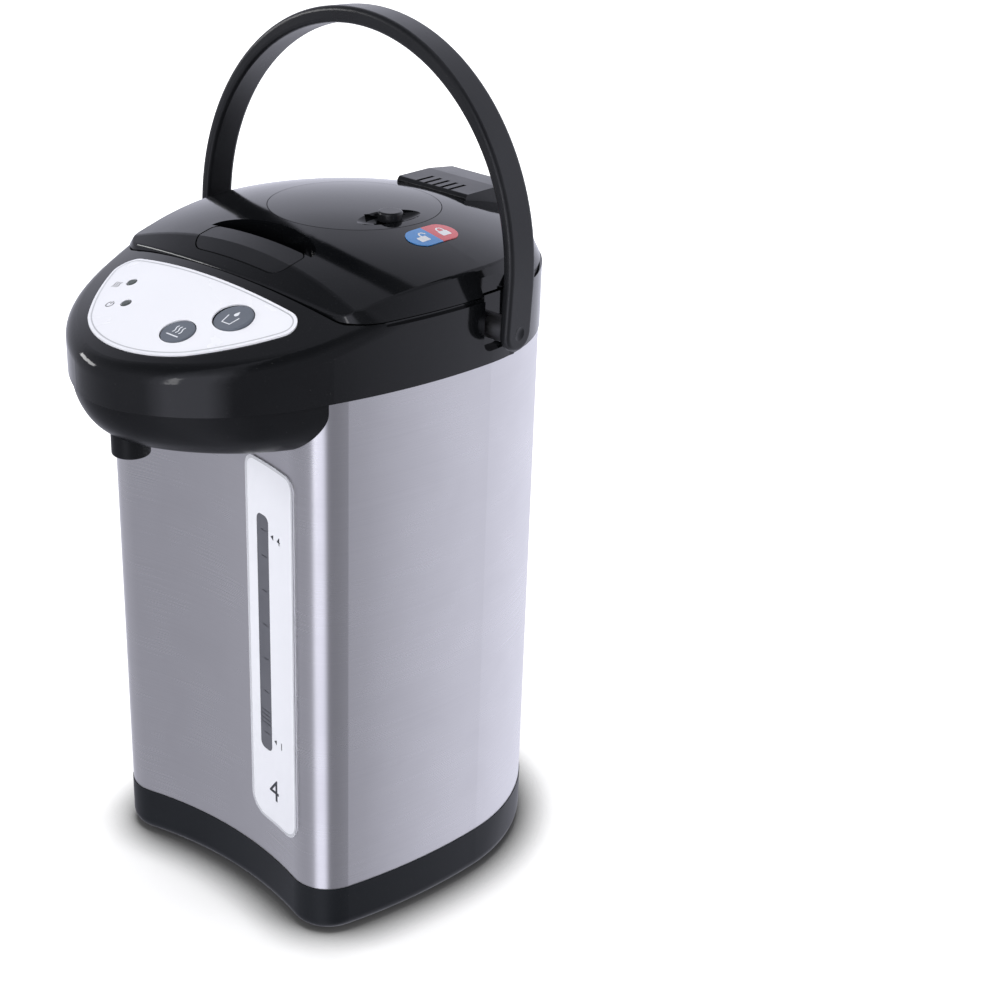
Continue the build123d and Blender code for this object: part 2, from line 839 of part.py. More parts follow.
def nozzle():
    """Short outlet tube with a flange that sits on the tray's boss."""
    body = disc(0, nozzle_y, nozzle_bottom, valve_bottom, nozzle_radius)
    body = fillet(body.faces().sort_by(Axis.Z)[0].edges(), 1.2)
    body += disc(0, nozzle_y, tray_floor_height + nozzle_boss_height, valve_bottom, nozzle_flange_radius)
    return body - disc(0, nozzle_y, nozzle_bottom - 1, valve_bottom + 1, nozzle_bore)


# ---------------------------------------------------------------- upper housing
def pocket_bar(side_wall, depth, bottom, top, gap=0.0):
    """Upright recess in a side wall, next to the handle's arm."""
    half = pocket_half_width + gap
    bar = block(side_wall - depth, side_wall + 20, handle_pivot_y - half, handle_pivot_y + half, bottom, top)
    return fillet(bar.edges().filter_by(Axis.X), 5.0)


def upper_housing():
    """Gloss black ring and beak: outer wall, sloped top, collar round the pot's mouth and deck."""
    outer = prism(upper_face(-housing_proud), casing_top - 20, panel_ridge_height + body_half_width)
    outer = (outer - seam_wedge()) & slope_drum(panel_crown_radius)
    outer = fillet([edge for edge in outer.edges() if is_beak_rim(edge)], beak_edge_round)
    inner_plan = upper_face(housing_wall - housing_proud)
    above = panel_ridge_height + body_half_width
    far = 2 * body_half_width
    hollow = prism(inner_plan, casing_top - 21, above) & slope_drum(panel_crown_radius - housing_wall)
    hollow -= block(-far, far, -collar_radius - 4, far, housing_top - housing_wall, above)
    housing = outer - hollow
    housing -= prism(lid_face(lid_inset - parting_gap), housing_top, above)
    housing -= shadow_groove(above)
    housing -= block(-far, far, lid_corner_start()[1], far, housing_top, above)
    deck = prism(body_face(0), casing_top, casing_top + deck_thickness)
    lip = prism(body_face(casing_wall + seat_gap), casing_top - lip_height, casing_top + 1)
    lip -= prism(body_face(casing_wall + seat_gap + lip_wall), 0, casing_top + 2)
    collar_bottom = casing_top - rim_thickness - ledge_thickness
    collar = disc(0, 0, collar_bottom, housing_top, collar_radius + collar_wall)
    housing += deck + lip + collar
    housing -= disc(0, 0, casing_top - rim_thickness, above, collar_radius)
    housing -= disc(0, 0, 0, above, pot_radius + pot_wall + seat_gap)
    for side in (1, -1):
        wall = body_half_width + housing_proud
        near = handle_pivot_y - pocket_half_width - 5
        far = handle_pivot_y + pocket_half_width + 5
        pad = block(wall - 7, wall - 1, near, far, casing_top, housing_top)
        bar = pocket_bar(wall, pocket_depth, pocket_bottom, housing_top + 12)
        hole = cross_bar(wall - 9, wall + 2, handle_pivot_y, handle_pivot_z, handle_pin_radius)
        if side < 0:
            pad, bar, hole = mirrored(pad), mirrored(bar), mirrored(hole)
        housing = housing + pad - bar - hole
    half = hinge_half_width + ear_thickness + seat_gap
    front = hinge_y - hinge_barrel_radius - 3
    housing -= block(-half, half, front, 2 * body_half_width, hinge_z - bracket_drop, above)
    housing -= disc(gauge_x, gauge_y, casing_top - 20, casing_top + 12, hose_radius + 1)
    keeper = block(-8, 8, -lid_front_reach - 4, -lid_front_reach + 1, lid_bottom + 0.8, lid_bottom + 5.2)
    housing -= keeper
    return housing - panel_cuts()


def shadow_groove(top):
    """Recess outside the sill, from the front corners backwards, that shows as the lid line."""
    groove = prism(body_face(-housing_proud - 1), groove_floor, top)
    groove -= prism(body_face(groove_depth - housing_proud), groove_floor - 1, top + 1)
    far = 2 * body_half_width
    return groove & block(-far, far, lid_corner_start()[1], far, groove_floor, top)


def is_beak_rim(edge):
    """True for the edges between the beak's sloped top and its wall."""
    middle = edge @ 0.5
    return abs(middle.Z - slope_height(middle.X, middle.Y)) < 0.5


def panel_cuts():
    """Holes in the beak's top for the two buttons and the two lamps."""
    spots = [(dispense_spot, dispense_radius), (reboil_spot, reboil_radius)]
    spots += [(spot, lamp_radius) for spot in lamp_spots]
    cuts = [on_slope(*spot, Pos(0, 0, -2) * Cylinder(radius + sliding_gap, 14)) for spot, radius in spots]
    return Part() + cuts


def control_panel():
    """Thin white overlay on the beak, round at its tips."""
    left_tip, left_side, left_turn = [(-x, y) for x, y in (panel_tip, panel_side, panel_turn)]
    outline = [
        ThreePointArc(left_tip, (0, -panel_top_y), panel_tip),
        ThreePointArc(panel_tip, panel_side, panel_turn),
        ThreePointArc(panel_turn, (0, -panel_bottom_y), left_turn),
        ThreePointArc(left_turn, left_side, left_tip),
    ]
    plan = prism(make_face(Curve() + outline), casing_top, dome_top)
    tips = plan.edges().filter_by(Axis.Z).sort_by(Axis.Y)[-2:]
    plan = fillet(tips, panel_tip_round)
    skin = slope_drum(panel_crown_radius + panel_thickness) - slope_drum(panel_crown_radius + glued_gap)
    return (skin & plan) - panel_cuts()


def button(spot, radius):
    """Round cap with a stem that reaches its switch when the cap is pressed."""
    sink = 4.0
    top = panel_thickness + button_proud
    cap = Pos(0, 0, (top - sink) / 2) * Cylinder(radius, top + sink)
    cap = fillet(cap.faces().sort_by(Axis.Z)[-1].edges(), 0.8)
    stem_bottom = -board_depth + switch_height + button_travel + 0.1
    stem = Pos(0, 0, (stem_bottom - sink) / 2) * Cylinder(2.5, -stem_bottom - sink + 0.2)
    return on_slope(*spot, cap + stem)


def lamp_lenses():
    """Two clear lenses that carry light from the board."""
    top = panel_thickness + 0.4
    lenses = []
    for x, y in lamp_spots:
        bottom = panel_drop(x) + lamp_height + 0.1 - board_depth
        lens = Pos(0, 0, (top + bottom) / 2) * Cylinder(lamp_radius, top - bottom)
        lens = fillet(lens.faces().sort_by(Axis.Z)[-1].edges(), 0.9)
        lenses.append(on_slope(x, y, lens))
    return Compound(lenses)


def control_board():
    """Board under the panel, with its lamps."""
    front_y, rear_y = board_reach
    middle_y = (front_y + rear_y) / 2
    length = (rear_y - front_y) / cos(radians(panel_tilt))
    board = Box(board_width, length, board_thickness)
    board = Pos(0, 0, -board_depth - board_thickness / 2) * board
    board = on_slope(0, middle_y, board)
    for x, y in lamp_spots:
        board += lamp_seat(x, y, lamp_radius - 0.3, lamp_height)
    return board


def lamp_seat(x, y, radius, height):
    """A small round part that stands on the control board under a plan point."""
    base = panel_drop(x)
    bar = Pos(0, 0, base + height / 2 - board_depth) * Cylinder(radius, height)
    return on_slope(x, y, bar)


def panel_drop(x):
    """How far the flat board lies above its usual depth where the crowned top has dropped."""
    return panel_crown_radius - sqrt(panel_crown_radius ** 2 - x ** 2)


def tact_switches():
    """Two push switches on the control board."""
    switches = []
    for x, y in (dispense_spot, reboil_spot):
        height = switch_height - panel_drop(x)
        body = Pos(0, 0, panel_drop(x) - board_depth + height * 0.35) * Box(7, 7, height * 0.7)
        tip = Pos(0, 0, panel_drop(x) - board_depth + height / 2) * Cylinder(1.6, height)
        switches.append(on_slope(x, y, body + tip))
    return Compound(switches)


def beak_tray():
    """Satin black tray that closes the beak from below, with round lower edges."""
    outer = prism(upper_face(tray_inset), tray_floor_height, casing_top)
    rim = outer.faces().sort_by(Axis.Z)[0].edges()
    outer = fillet(rim, tray_edge_round)
    inner = prism(upper_face(tray_inset + tray_wall), tray_floor_height + tray_wall, casing_top + 1)
    inner_rim = inner.faces().sort_by(Axis.Z)[0].edges()
    inner = fillet(inner_rim, tray_edge_round - tray_wall)
    tray = (outer - inner) & seam_wedge()
    tray -= prism(body_face(-strip_thickness - seat_gap), 0, casing_top + 1)
    tray -= block(-2 * body_half_width, 2 * body_half_width, -front_depth, 2 * body_half_width, 0, dome_top)
    tray = tray.solids().sort_by(SortBy.VOLUME)[-1]
    boss_top = tray_floor_height + nozzle_boss_height
    tray += disc(0, nozzle_y, tray_floor_height, boss_top, nozzle_radius + 3) & outer
    tray -= disc(0, nozzle_y, 0, casing_top, nozzle_radius + glued_gap)
    tray -= disc(0, nozzle_y, boss_top - glued_gap, casing_top, nozzle_flange_radius + seat_gap)
    for x, y in tray_screw_spots:
        tray += disc(x, y, tray_floor_height, tray_floor_height + 6, 4.0) & outer
        tray -= disc(x, y, 0, tray_floor_height + 10, screw_radius)
        tray -= disc(x, y, 0, tray_floor_height + screw_head_height, screw_head_radius + seat_gap)
    return tray


tray_screw_spots = ((38.0, -124.0), (-38.0, -124.0))


def tray_screws():
    """Two screws up into the tray's bosses."""
    screws = []
    for x, y in tray_screw_spots:
        bottom = tray_floor_height + 0.2
        head = disc(x, y, bottom, tray_floor_height + screw_head_height, screw_head_radius)
        screws.append(head + disc(x, y, bottom, bottom + 9, screw_radius))
    return Compound(screws)


def handle_pins():
    """Two pins pressed into the housing's sides, on which the handle swings."""
    wall = body_half_width + housing_proud
    arm = wall + handle_side_clearance
    spot = (handle_pivot_y, handle_pivot_z)
    pin = cross_bar(wall - 8.5, arm + handle_pin_depth - 0.2, *spot, handle_pin_radius)
    pin += cross_bar(wall - pocket_depth, arm - 0.15, *spot, handle_boss_radius)
    return Compound([pin, mirrored(pin)])


def hinge_bracket():
    """Bracket at the rear of the housing with two ears for the hinge pin."""
    front = hinge_y - hinge_barrel_radius - 2.7
    bottom = hinge_z - bracket_drop + seat_gap
    base_top = hinge_z - hinge_barrel_radius - 1.5
    half = hinge_half_width + ear_thickness
    bracket = block(-half, half, front, hinge_y + 3, bottom, base_top)
    for side in (1, -1):
        inner = side * barrel_outer
        outer = side * half
        left, right = min(inner, outer), max(inner, outer)
        bracket += block(left, right, front, hinge_y + hinge_barrel_radius, bottom, hinge_z)
        bracket += cross_bar(left, right, hinge_y, hinge_z, hinge_barrel_radius)
    bracket += block(-half, half, front - 6, front + 1, bottom - 6, bottom + 3) & collar_keepout()
    return bracket - cross_bar(-half - 1, half + 1, hinge_y, hinge_z, hinge_pin_radius)


barrel_outer = barrel_half_length + sliding_gap
bracket_drop = 14.0     # of the bracket below the hinge axis


def collar_keepout():
    """The space outside the collar and inside the housing's wall."""
    plan = prism(upper_face(housing_wall - housing_proud + seat_gap), casing_top + deck_thickness, dome_top)
    return plan - disc(0, 0, 0, dome_top, collar_radius + collar_wall + seat_gap)


def hinge_pin():
    """Steel pin across the bracket's ears."""
    half = hinge_half_width + ear_thickness
    return cross_bar(-half + 0.2, half - 0.2, hinge_y, hinge_z, hinge_pin_radius)


# ---------------------------------------------------------------- lid
def lid_block(inset, bottom):
    """Solid form of the lid: drafted side band, dome and sloped front face."""
    top = dome_top + 10
    low = Pos(0, 0, bottom) * lid_face(lid_inset + inset)
    high = Pos(0, 0, shoulder_height) * lid_shoulder_face(inset)
    form = loft([low, high]) + prism(lid_shoulder_face(inset), shoulder_height, top)
    form &= dome(dome_radius - inset)
    return form & tilted_drum(lid_front_tilt, lid_front_ridge, lid_front_crown, lid_front_crown - inset)


shoulder_height = 352.4
lid_bottom = housing_top + lid_gap


def lid_shell():
    """Gloss black lid: dome, drafted side band, press-plate guide, finger cavity and hinge barrel."""
    bottom = lid_bottom
    outer = lid_block(0, bottom)
    outer = fillet([edge for edge in lid_rims(outer) if is_lid_crease(edge)], lid_crease_round)
    outer = fillet([edge for edge in lid_rims(outer) if not is_lid_crease(edge)], lid_edge_round)
    inner = lid_block(lid_wall, bottom - 1)
    shell = outer - inner
    guide = press_radius + sliding_gap
    shell += disc(0, press_centre_y, bottom, dome_top + 5, guide + 2) & lid_block(0.5, bottom)
    for side in (1, -1):
        wall = body_half_width - lid_inset
        near = handle_pivot_y - pocket_half_width - 5
        far = handle_pivot_y + pocket_half_width + 5
        pad = block(lid_shoulder_half - 8, wall, near, far, bottom, shoulder_height)
        pad &= lid_block(0.5, bottom)
        bar = pocket_bar(wall, pocket_depth, housing_top - 12, shoulder_height + 6)
        if side < 0:
            pad, bar = mirrored(pad), mirrored(bar)
        shell = shell + pad - bar
    cavity_floor = dome_height(0, latch_rear) - cavity_depth
    form = prism(cavity_plan(2.0), cavity_floor - 2.0, dome_top)
    for side in (-1, 1):
        left = side * (latch_half_width + latch_gap + 2.0) - 2.5
        form += block(left, left + 5.0, latch_pivot_y - 4, latch_pivot_y + 4, latch_pivot_z - 4, dome_top)
    shell += form & lid_block(0.5, bottom)
    shell -= prism(cavity_plan(0.0), cavity_floor, dome_top)
    shell -= prism(latch_plan(latch_gap), bottom - 1, dome_top)
    pin_half = latch_half_width + latch_gap + 2
    shell -= cross_bar(-pin_half, pin_half, latch_pivot_y, latch_pivot_z, latch_pin_radius + running_gap)
    shell -= block(-9, 9, -lid_front_reach - 2, -latch_front + 2, bottom - 1, bottom + 7)
    shell -= block(-vent_half_width - seat_gap, vent_half_width + seat_gap, vent_front - seat_gap,
                   2 * body_half_width, bottom + 6, dome_top + 9)
    barrel = cross_bar(-barrel_half_length, barrel_half_length, hinge_y, hinge_z, hinge_barrel_radius)
    web = block(-barrel_half_length, barrel_half_length, hinge_y - 22, hinge_y, hinge_z, bottom + 6)
    half = hinge_half_width + ear_thickness + 1
    front = hinge_y - hinge_barrel_radius - 3.5
    clear = block(-half, half, front, 2 * body_half_width, 0, hinge_z + hinge_barrel_radius + 1)
    floor = block(-vent_half_width - 3, vent_half_width + 3, vent_front - 4, hinge_y - 8, bottom, bottom + 6)
    shell = (shell - clear) + (floor & lid_block(0.5, bottom)) + barrel + web
    shell -= disc(0, press_centre_y, bottom - 1, dome_top + 9, guide)
    half = vent_half_width
    return shell - cross_bar(-half, half, hinge_y, hinge_z, hinge_pin_radius + running_gap)


def lid_rims(form):
    """The edges round the lid's top, without the upright ones."""
    return [edge for edge in form.edges() if (edge @ 0.5).Z > lid_bottom + 2 and abs((edge % 0.5).Z) < 0.7]


def is_lid_crease(edge):
    """True for the edges between the dome and the sloped front face."""
    middle = edge @ 0.5
    return abs(middle.X) < 1 and -latch_front < middle.Y < -latch_rear


def cavity_plan(grow):
    """The arched finger cavity behind the latch."""
    reach = latch_rear - cavity_rear + grow
    arch = Pos(0, -latch_rear) * Ellipse(latch_half_width + 3 + grow, reach)
    return (arch & (Pos(0, reach / 2 - latch_rear) * Rectangle(4 * latch_half_width, reach))).face()


def latch_plan(gap):
    """The latch's outline, or with a gap that of its opening."""
    length = latch_front - latch_rear
    plan = Rectangle(2 * latch_half_width, length)
    corners = plan.vertices().sort_by(Axis.Y)
    plan = fillet(corners[:2], latch_front_round)
    plan = fillet(plan.vertices().sort_by(Axis.Y)[-2:], latch_rear_round)
    if gap > 0:
        plan = offset(plan, gap)
    return (Pos(0, -latch_front + length / 2) * plan).face()


def lid_latch():
    """Rocking tongue in the lid's front: pulled up at its rear edge, it lets the nose go."""
    plate = lid_block(0.15, lid_bottom) - lid_block(latch_thickness, lid_bottom - 1)
    plate &= prism(latch_plan(0), latch_pivot_z, dome_top)
    arm_bottom = lid_bottom + 2.6
    ribs = block(-7, 7, latch_pivot_y - 1.5, latch_pivot_y + 2, arm_bottom, latch_pivot_z + 6)
    for side in (-1, 1):
        left = side * (latch_half_width - 4.0) - 2.0
        near, far = latch_pivot_y - 2, latch_pivot_y + 2.5
        ribs += block(left, left + 4, near, far, latch_pivot_z - 2, latch_pivot_z + 6)
    plate += ribs & lid_block(1.0, lid_bottom) & prism(latch_plan(0), 0, dome_top)
    nose = block(-7, 7, 0.3 - lid_front_reach, latch_pivot_y + 2, arm_bottom, arm_bottom + 2)
    pin_half = latch_half_width + latch_gap + 1.6
    return plate + nose + cross_bar(-pin_half, pin_half, latch_pivot_y, latch_pivot_z, latch_pin_radius)


def steam_vent_cover():
    """Raised block behind the dome, over the hinge, with steam slots and a top that falls to the rear."""
    bottom = lid_bottom + 6 + seat_gap
    front = vent_front
    over_hinge = hinge_z + hinge_barrel_radius + 1.5
    before_hinge = hinge_y - hinge_barrel_radius - 4
    side_view = Polyline(
        (front, bottom), (front, dome_height(0, front) + 0.1), (front + 1.5, vent_top),
        (vent_rear - vent_bevel_length, vent_top), (vent_rear, vent_top - vent_bevel_drop),
        (vent_rear, over_hinge), (before_hinge, over_hinge), (before_hinge, bottom), close=True
    )
    cover = extrude(Plane.YZ * make_face(side_view), vent_half_width, both=True)
    long_edges = [e for e in cover.edges().filter_by(Axis.X) if (e @ 0.5).Z > vent_top - 6]
    cover = fillet(long_edges, 1.0)
    half = vent_half_width - vent_wall
    hollow_top = dome_height(0, front) - 3
    cover -= block(-half, half, front + vent_wall, before_hinge - vent_wall, bottom - 1, hollow_top)
    for step in range(slot_count):
        x = (step - (slot_count - 1) / 2) * slot_pitch
        cover -= Pos(x, vent_slot_y, vent_top) * Box(slot_width, slot_length, 20)
    return cover


vent_slot_y = 67.0
vent_wall = 2.0


def inner_lid_drum():
    """Milky clear drum under the lid, ribbed, with a flange screwed to the lid."""
    top = lid_bottom
    floor = drum_floor_height
    outer = Pos(0, 0, (floor + top) / 2) * Cone(drum_bottom_radius, drum_top_radius, top - floor)
    inner = Pos(0, 0, (floor + top) / 2 + drum_wall) * Cone(
        drum_bottom_radius - drum_wall, drum_top_radius - drum_wall, top - floor)
    drum = outer - inner
    flange = prism(lid_face(lid_inset + lid_wall + 4.0), top, top + drum_wall)
    flange -= disc(0, 0, 0, dome_top, drum_top_radius - drum_wall)
    half = latch_half_width + 1.5
    flange -= block(-half, half, -2 * body_half_width, 1 - latch_rear, 0, dome_top)
    half = vent_half_width + 4
    flange -= block(-half, half, vent_front - 5, 2 * body_half_width, 0, dome_top)
    for side in (-1, 1):
        x = side * (lid_shoulder_half - 3)
        flange -= block(x - 7, x + 9, handle_pivot_y - 18, handle_pivot_y + 18, 0, dome_top)
    drum += flange
    rib_count = 24
    for step in range(rib_count):
        rib = block(drum_bottom_radius - 4, drum_top_radius - 1.2, -0.7, 0.7, floor + drum_wall, top - 4)
        drum += (Rot(Z=step * 360 / rib_count) * rib) & outer
    drum -= disc(0, 0, 0, floor + 6, 5)
    for step in range(3):
        angle = radians(90 + step * 120)
        drum -= disc(50 * cos(angle), 50 * sin(angle), 0, floor + 6, 4)
    return drum


def inner_lid_plate():
    """Pressed steel plate under the drum, with a ring groove and steam holes."""
    top = drum_floor_height - glued_gap
    bottom = top - inner_plate_thickness
    radius = mouth_radius - 3.5
    plate = disc(0, 0, bottom, top, radius)
    plate += ring(0, 0, bottom - 1.0, bottom, radius * 0.78, radius * 0.70)
    plate += ring(0, 0, bottom - 1.0, bottom, radius, radius - 1.0)
    plate -= disc(0, 0, 0, dome_top, 4)
    hole_count = 6
    for step in range(hole_count):
        angle = radians(step * 360 / hole_count)
        plate -= disc(22 * cos(angle), 22 * sin(angle), 0, dome_top, 2.2)
    return plate


def lid_gasket():
    """Silicone ring that presses on the pot's rim."""
    top = drum_floor_height - glued_gap
    bottom = casing_top + seat_gap
    seal = ring(0, 0, bottom, top, gasket_radius - 3, mouth_radius - 3.3)
    lip = Pos(0, 0, (bottom + top + 1.6) / 2) * Cone(gasket_radius, gasket_radius - 1, top + 1.6 - bottom)
    lip -= disc(0, 0, 0, dome_top, drum_bottom_radius + glued_gap + 0.2)
    skirt = ring(0, 0, bottom, top, gasket_radius - 1.0, gasket_radius - 3.5)
    return seal + lip + skirt


# ---------------------------------------------------------------- press plate, lock and bellows
def spindle(radius, length):
    """A pointed ball along Y, for the dished recess of the lock."""
    half = length / 2
    arc = ThreePointArc((0, -half), (radius, 0), (0, half))
    return revolve(make_face(Curve() + [arc, Line((0, half), (0, -half))]), Axis.Y)


def press_plate():
    """Round dome-topped plate that is pressed to pump by hand, with the lock's recess."""
    bottom = dome_top - press_skirt_depth
    cup = disc(0, press_centre_y, bottom, dome_top + 2, press_radius) & dome(dome_radius)
    hollow = disc(0, press_centre_y, bottom - 1, dome_top, press_radius - press_wall)
    cup -= hollow & dome(dome_radius - press_wall)
    pad = block(knob_orbit - 10, knob_orbit + 9, -recess_length / 2, recess_length / 2,
                knob_surface - recess_depth - 2, dome_top)
    pad = about_plate_axis(pad)
    pad &= disc(0, press_centre_y, bottom, dome_top, press_radius - 1) & dome(dome_radius - 0.5)
    recess = Pos(knob_orbit, 0, knob_surface + recess_axis_lift)
    recess *= spindle(recess_axis_lift + recess_depth, recess_length)
    cup = cup + pad - about_plate_axis(recess)
    cup -= lock_slot(bottom, knob_stem_radius + sliding_gap)
    cup -= lock_slot(knob_surface - knob_sink - sliding_gap, knob_radius + sliding_gap)
    hub = disc(0, press_centre_y, plate_hub_bottom, dome_top - 1, hub_radius) & dome(dome_radius - 0.5)
    hub += disc(0, press_centre_y, plate_hub_bottom - 1.2, plate_hub_bottom, hub_radius + 2.5)
    return cup + hub


recess_depth = 4.2
recess_axis_lift = 6.0
recess_length = 60.0
plate_hub_bottom = 352.4
hub_radius = 5.0
knob_stem_radius = 2.0
knob_sink = 1.4
knob_rise = 3.4
knob_surface = dome_top - dome_radius + sqrt(dome_radius ** 2 - knob_orbit ** 2)


def about_plate_axis(shape):
    """A shape drawn at the knob's orbit on +X, turned to the knob's place on the lid."""
    return Pos(0, press_centre_y, 0) * Rot(Z=knob_angle) * shape


def lock_slot(bottom, half_width):
    """Curved track that the knob or its stem moves in, to both ends of its travel."""
    track = ring(0, 0, bottom, dome_top + 5, knob_orbit + half_width, knob_orbit - half_width)
    spread = lock_angle / 2 + degrees(asin(half_width / knob_orbit))
    reach = 2 * knob_orbit
    corner = (reach, reach * sin(radians(spread)) / cos(radians(spread)))
    wedge = make_face(Polyline((0, 0), (corner[0], -corner[1]), corner, close=True))
    return about_plate_axis(track & prism(wedge, bottom - 1, dome_top + 6))


def lock_lever():
    """Ribbed knob on an arm that turns under the press plate."""
    knob = disc(knob_orbit, 0, knob_surface - knob_sink, knob_surface + knob_rise, knob_radius)
    knob = fillet(knob.faces().sort_by(Axis.Z)[-1].edges(), 1.2)
    arm_bottom = plate_hub_bottom + 0.2
    arm = block(hub_radius + 1, knob_orbit + 4, -4, 4, arm_bottom, arm_bottom + 2)
    arm += ring(0, 0, arm_bottom, arm_bottom + 2, hub_radius + 4, hub_radius + running_gap)
    stem = disc(knob_orbit, 0, arm_bottom, knob_surface, knob_stem_radius)
    return about_plate_axis(knob + stem + arm)


def bellows():
    """Rubber bellows between the press plate and the drum's floor."""
    bottom = drum_floor_height + drum_wall + glued_gap
    top = plate_hub_bottom - 1.5
    pitch = (top - bottom) / bellows_turns
    outline = [(bellows_radius - 8, bottom)]
    for step in range(bellows_turns):
        low = bottom + step * pitch
        outline += [(bellows_radius, low + pitch / 2), (bellows_radius - 8, low + pitch)]
    inner = [(radius - 1.4, height) for radius, height in reversed(outline)]
    wall = revolve(Plane.XZ * make_face(Polyline(*outline, *inner, close=True)), Axis.Z)
    cap = disc(0, 0, top - 1.4, top, bellows_radius - 8)
    return Pos(0, press_centre_y, 0) * (wall + cap)


def bellows_spring():
    """Coil spring inside the bellows that lifts the press plate."""
    bottom = drum_floor_height + drum_wall + 1.0
    top = plate_hub_bottom - 4.0
    coil = Helix(pitch=(top - bottom) / spring_turns, height=top - bottom, radius=spring_radius)
    start = Plane(origin=coil @ 0, z_dir=coil % 0)
    wire = sweep(start * Circle(spring_wire_radius), path=coil, is_frenet=True)
    return Pos(0, press_centre_y, bottom) * wire


spring_turns = 6
spring_radius = 14.0
spring_wire_radius = 0.8


# ---------------------------------------------------------------- lock label
def lock_label(front, rear):
    """One half of the pill-shaped label on the dome."""
    pill = Pos(label_x, label_y) * Rectangle(label_width, label_length - label_width)
    plan = prism(pill.face(), shoulder_height, dome_top)
    for side in (-1, 1):
        end_y = label_y + side * (label_length - label_width) / 2
        plan += disc(label_x, end_y, shoulder_height, dome_top, label_width / 2)
    plan &= block(0, body_half_width, front, rear, shoulder_height, dome_top)
    skin = dome(dome_radius + label_thickness) - dome(dome_radius + glued_gap)
    return skin & plan


label_x = 57.5
label_y = -1.5
label_length = 31.0
label_width = 16.0
label_thickness = 0.4


# ---------------------------------------------------------------- handle
def arch_face(half, rise):
    """Half ellipse over two straight arms, drawn from below the pivots up."""
    low = -handle_width / 2
    arch = Pos(0, handle_arm_height) * Ellipse(half, rise)
    arch &= Pos(0, handle_arm_height + rise) * Rectangle(4 * half, 2 * rise)
    arms = Pos(0, (handle_arm_height + low) / 2) * Rectangle(2 * half, handle_arm_height - low)
    return Plane.XZ * (arch + arms)


def handle_bail():
    """Arched carrying handle: flat band, thicker at the grip, with round ends."""
    inner_half = handle_outer_half - handle_arm_thickness
    band = extrude(arch_face(handle_outer_half, handle_arch_height), handle_width / 2, both=True)
    inside = arch_face(inner_half, handle_arch_height - handle_grip_thickness)
    band -= extrude(inside, handle_width, both=True)
    outside = handle_outer_half + 1
    ends = block(-outside, outside, -handle_width, handle_width, -handle_width, 0)
    ends -= cross_bar(-outside - 1, outside + 1, 0, 0, handle_width / 2)
    band -= ends
    edges = band.edges()
    rims = edges - edges.filter_by(Axis.X) - edges.filter_by(Axis.Y)
    band = fillet(rims, handle_edge_round)
    drill = cross_bar(inner_half - 1, inner_half + handle_pin_depth, 0, 0, handle_pin_radius + running_gap)
    dimple = Pos(handle_outer_half + 5.4, 0, 0) * Sphere(6.4)
    band = band - drill - mirrored(drill) - dimple - mirrored(dimple)
    return Pos(0, handle_pivot_y, handle_pivot_z) * Rot(X=-handle_lean) * band


if __name__ == "__main__":
    nodes = {
        "base_skirt": base_skirt,
        "bottom_cover": bottom_cover,
        "foot_pads": foot_pads,
        "cover_screws": cover_screws,
        "pump_mount": pump_mount,
        "pump_motor": pump_motor,
        "pump_housing": pump_housing,
        "pump_impeller": pump_impeller,
        "intake_hose": intake_hose,
        "outlet_hose": outlet_hose,
        "power_board": power_board,
        "power_inlet": power_inlet,
        "outer_casing": outer_casing,
        "level_strip": level_strip,
        "level_window": level_window,
        "inner_pot": inner_pot,
        "boil_heater": lambda: heater(heater_bottom, heater_height),
        "warm_heater": lambda: heater(warm_heater_bottom, warm_heater_height),
        "insulation": insulation,
        "thermostats": thermostats,
        "thermal_fuse": thermal_fuse,
        "level_tube": level_tube,
        "tube_couplings": tube_couplings,
        "spout_hose": spout_hose,
        "spout_valve": spout_valve,
        "nozzle": nozzle,
        "upper_housing": upper_housing,
        "beak_tray": beak_tray,
        "tray_screws": tray_screws,
        "control_panel": control_panel,
        "dispense_button": lambda: button(dispense_spot, dispense_radius),
        "reboil_button": lambda: button(reboil_spot, reboil_radius),
        "lamp_lenses": lamp_lenses,
        "control_board": control_board,
        "tact_switches": tact_switches,
        "handle_pins": handle_pins,
        "hinge_bracket": hinge_bracket,
        "hinge_pin": hinge_pin,
        "lid_shell": lid_shell,
        "lid_latch": lid_latch,
        "steam_vent_cover": steam_vent_cover,
        "inner_lid_drum": inner_lid_drum,
        "inner_lid_plate": inner_lid_plate,
        "lid_gasket": lid_gasket,
        "press_plate": press_plate,
        "lock_lever": lock_lever,
        "bellows": bellows,
        "bellows_spring": bellows_spring,
        "label_unlocked": lambda: lock_label(label_y - label_length, label_y),
        "label_locked": lambda: lock_label(label_y, label_y + label_length),
        "handle_bail": handle_bail,
    }
    for node, make in nodes.items():
        write(node, make())
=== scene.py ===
"""Electric thermo pot: finishes, prints, small fittings and a studio, laid out as an add-on.

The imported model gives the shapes. The operators below give each piece its finish, add the prints and
the small repeated details, and set up the floor, the lamps and the camera.
"""

import math

import bmesh
import bpy
from bpy.props import FloatProperty, FloatVectorProperty, IntProperty, PointerProperty
from mathutils import Matrix, Vector


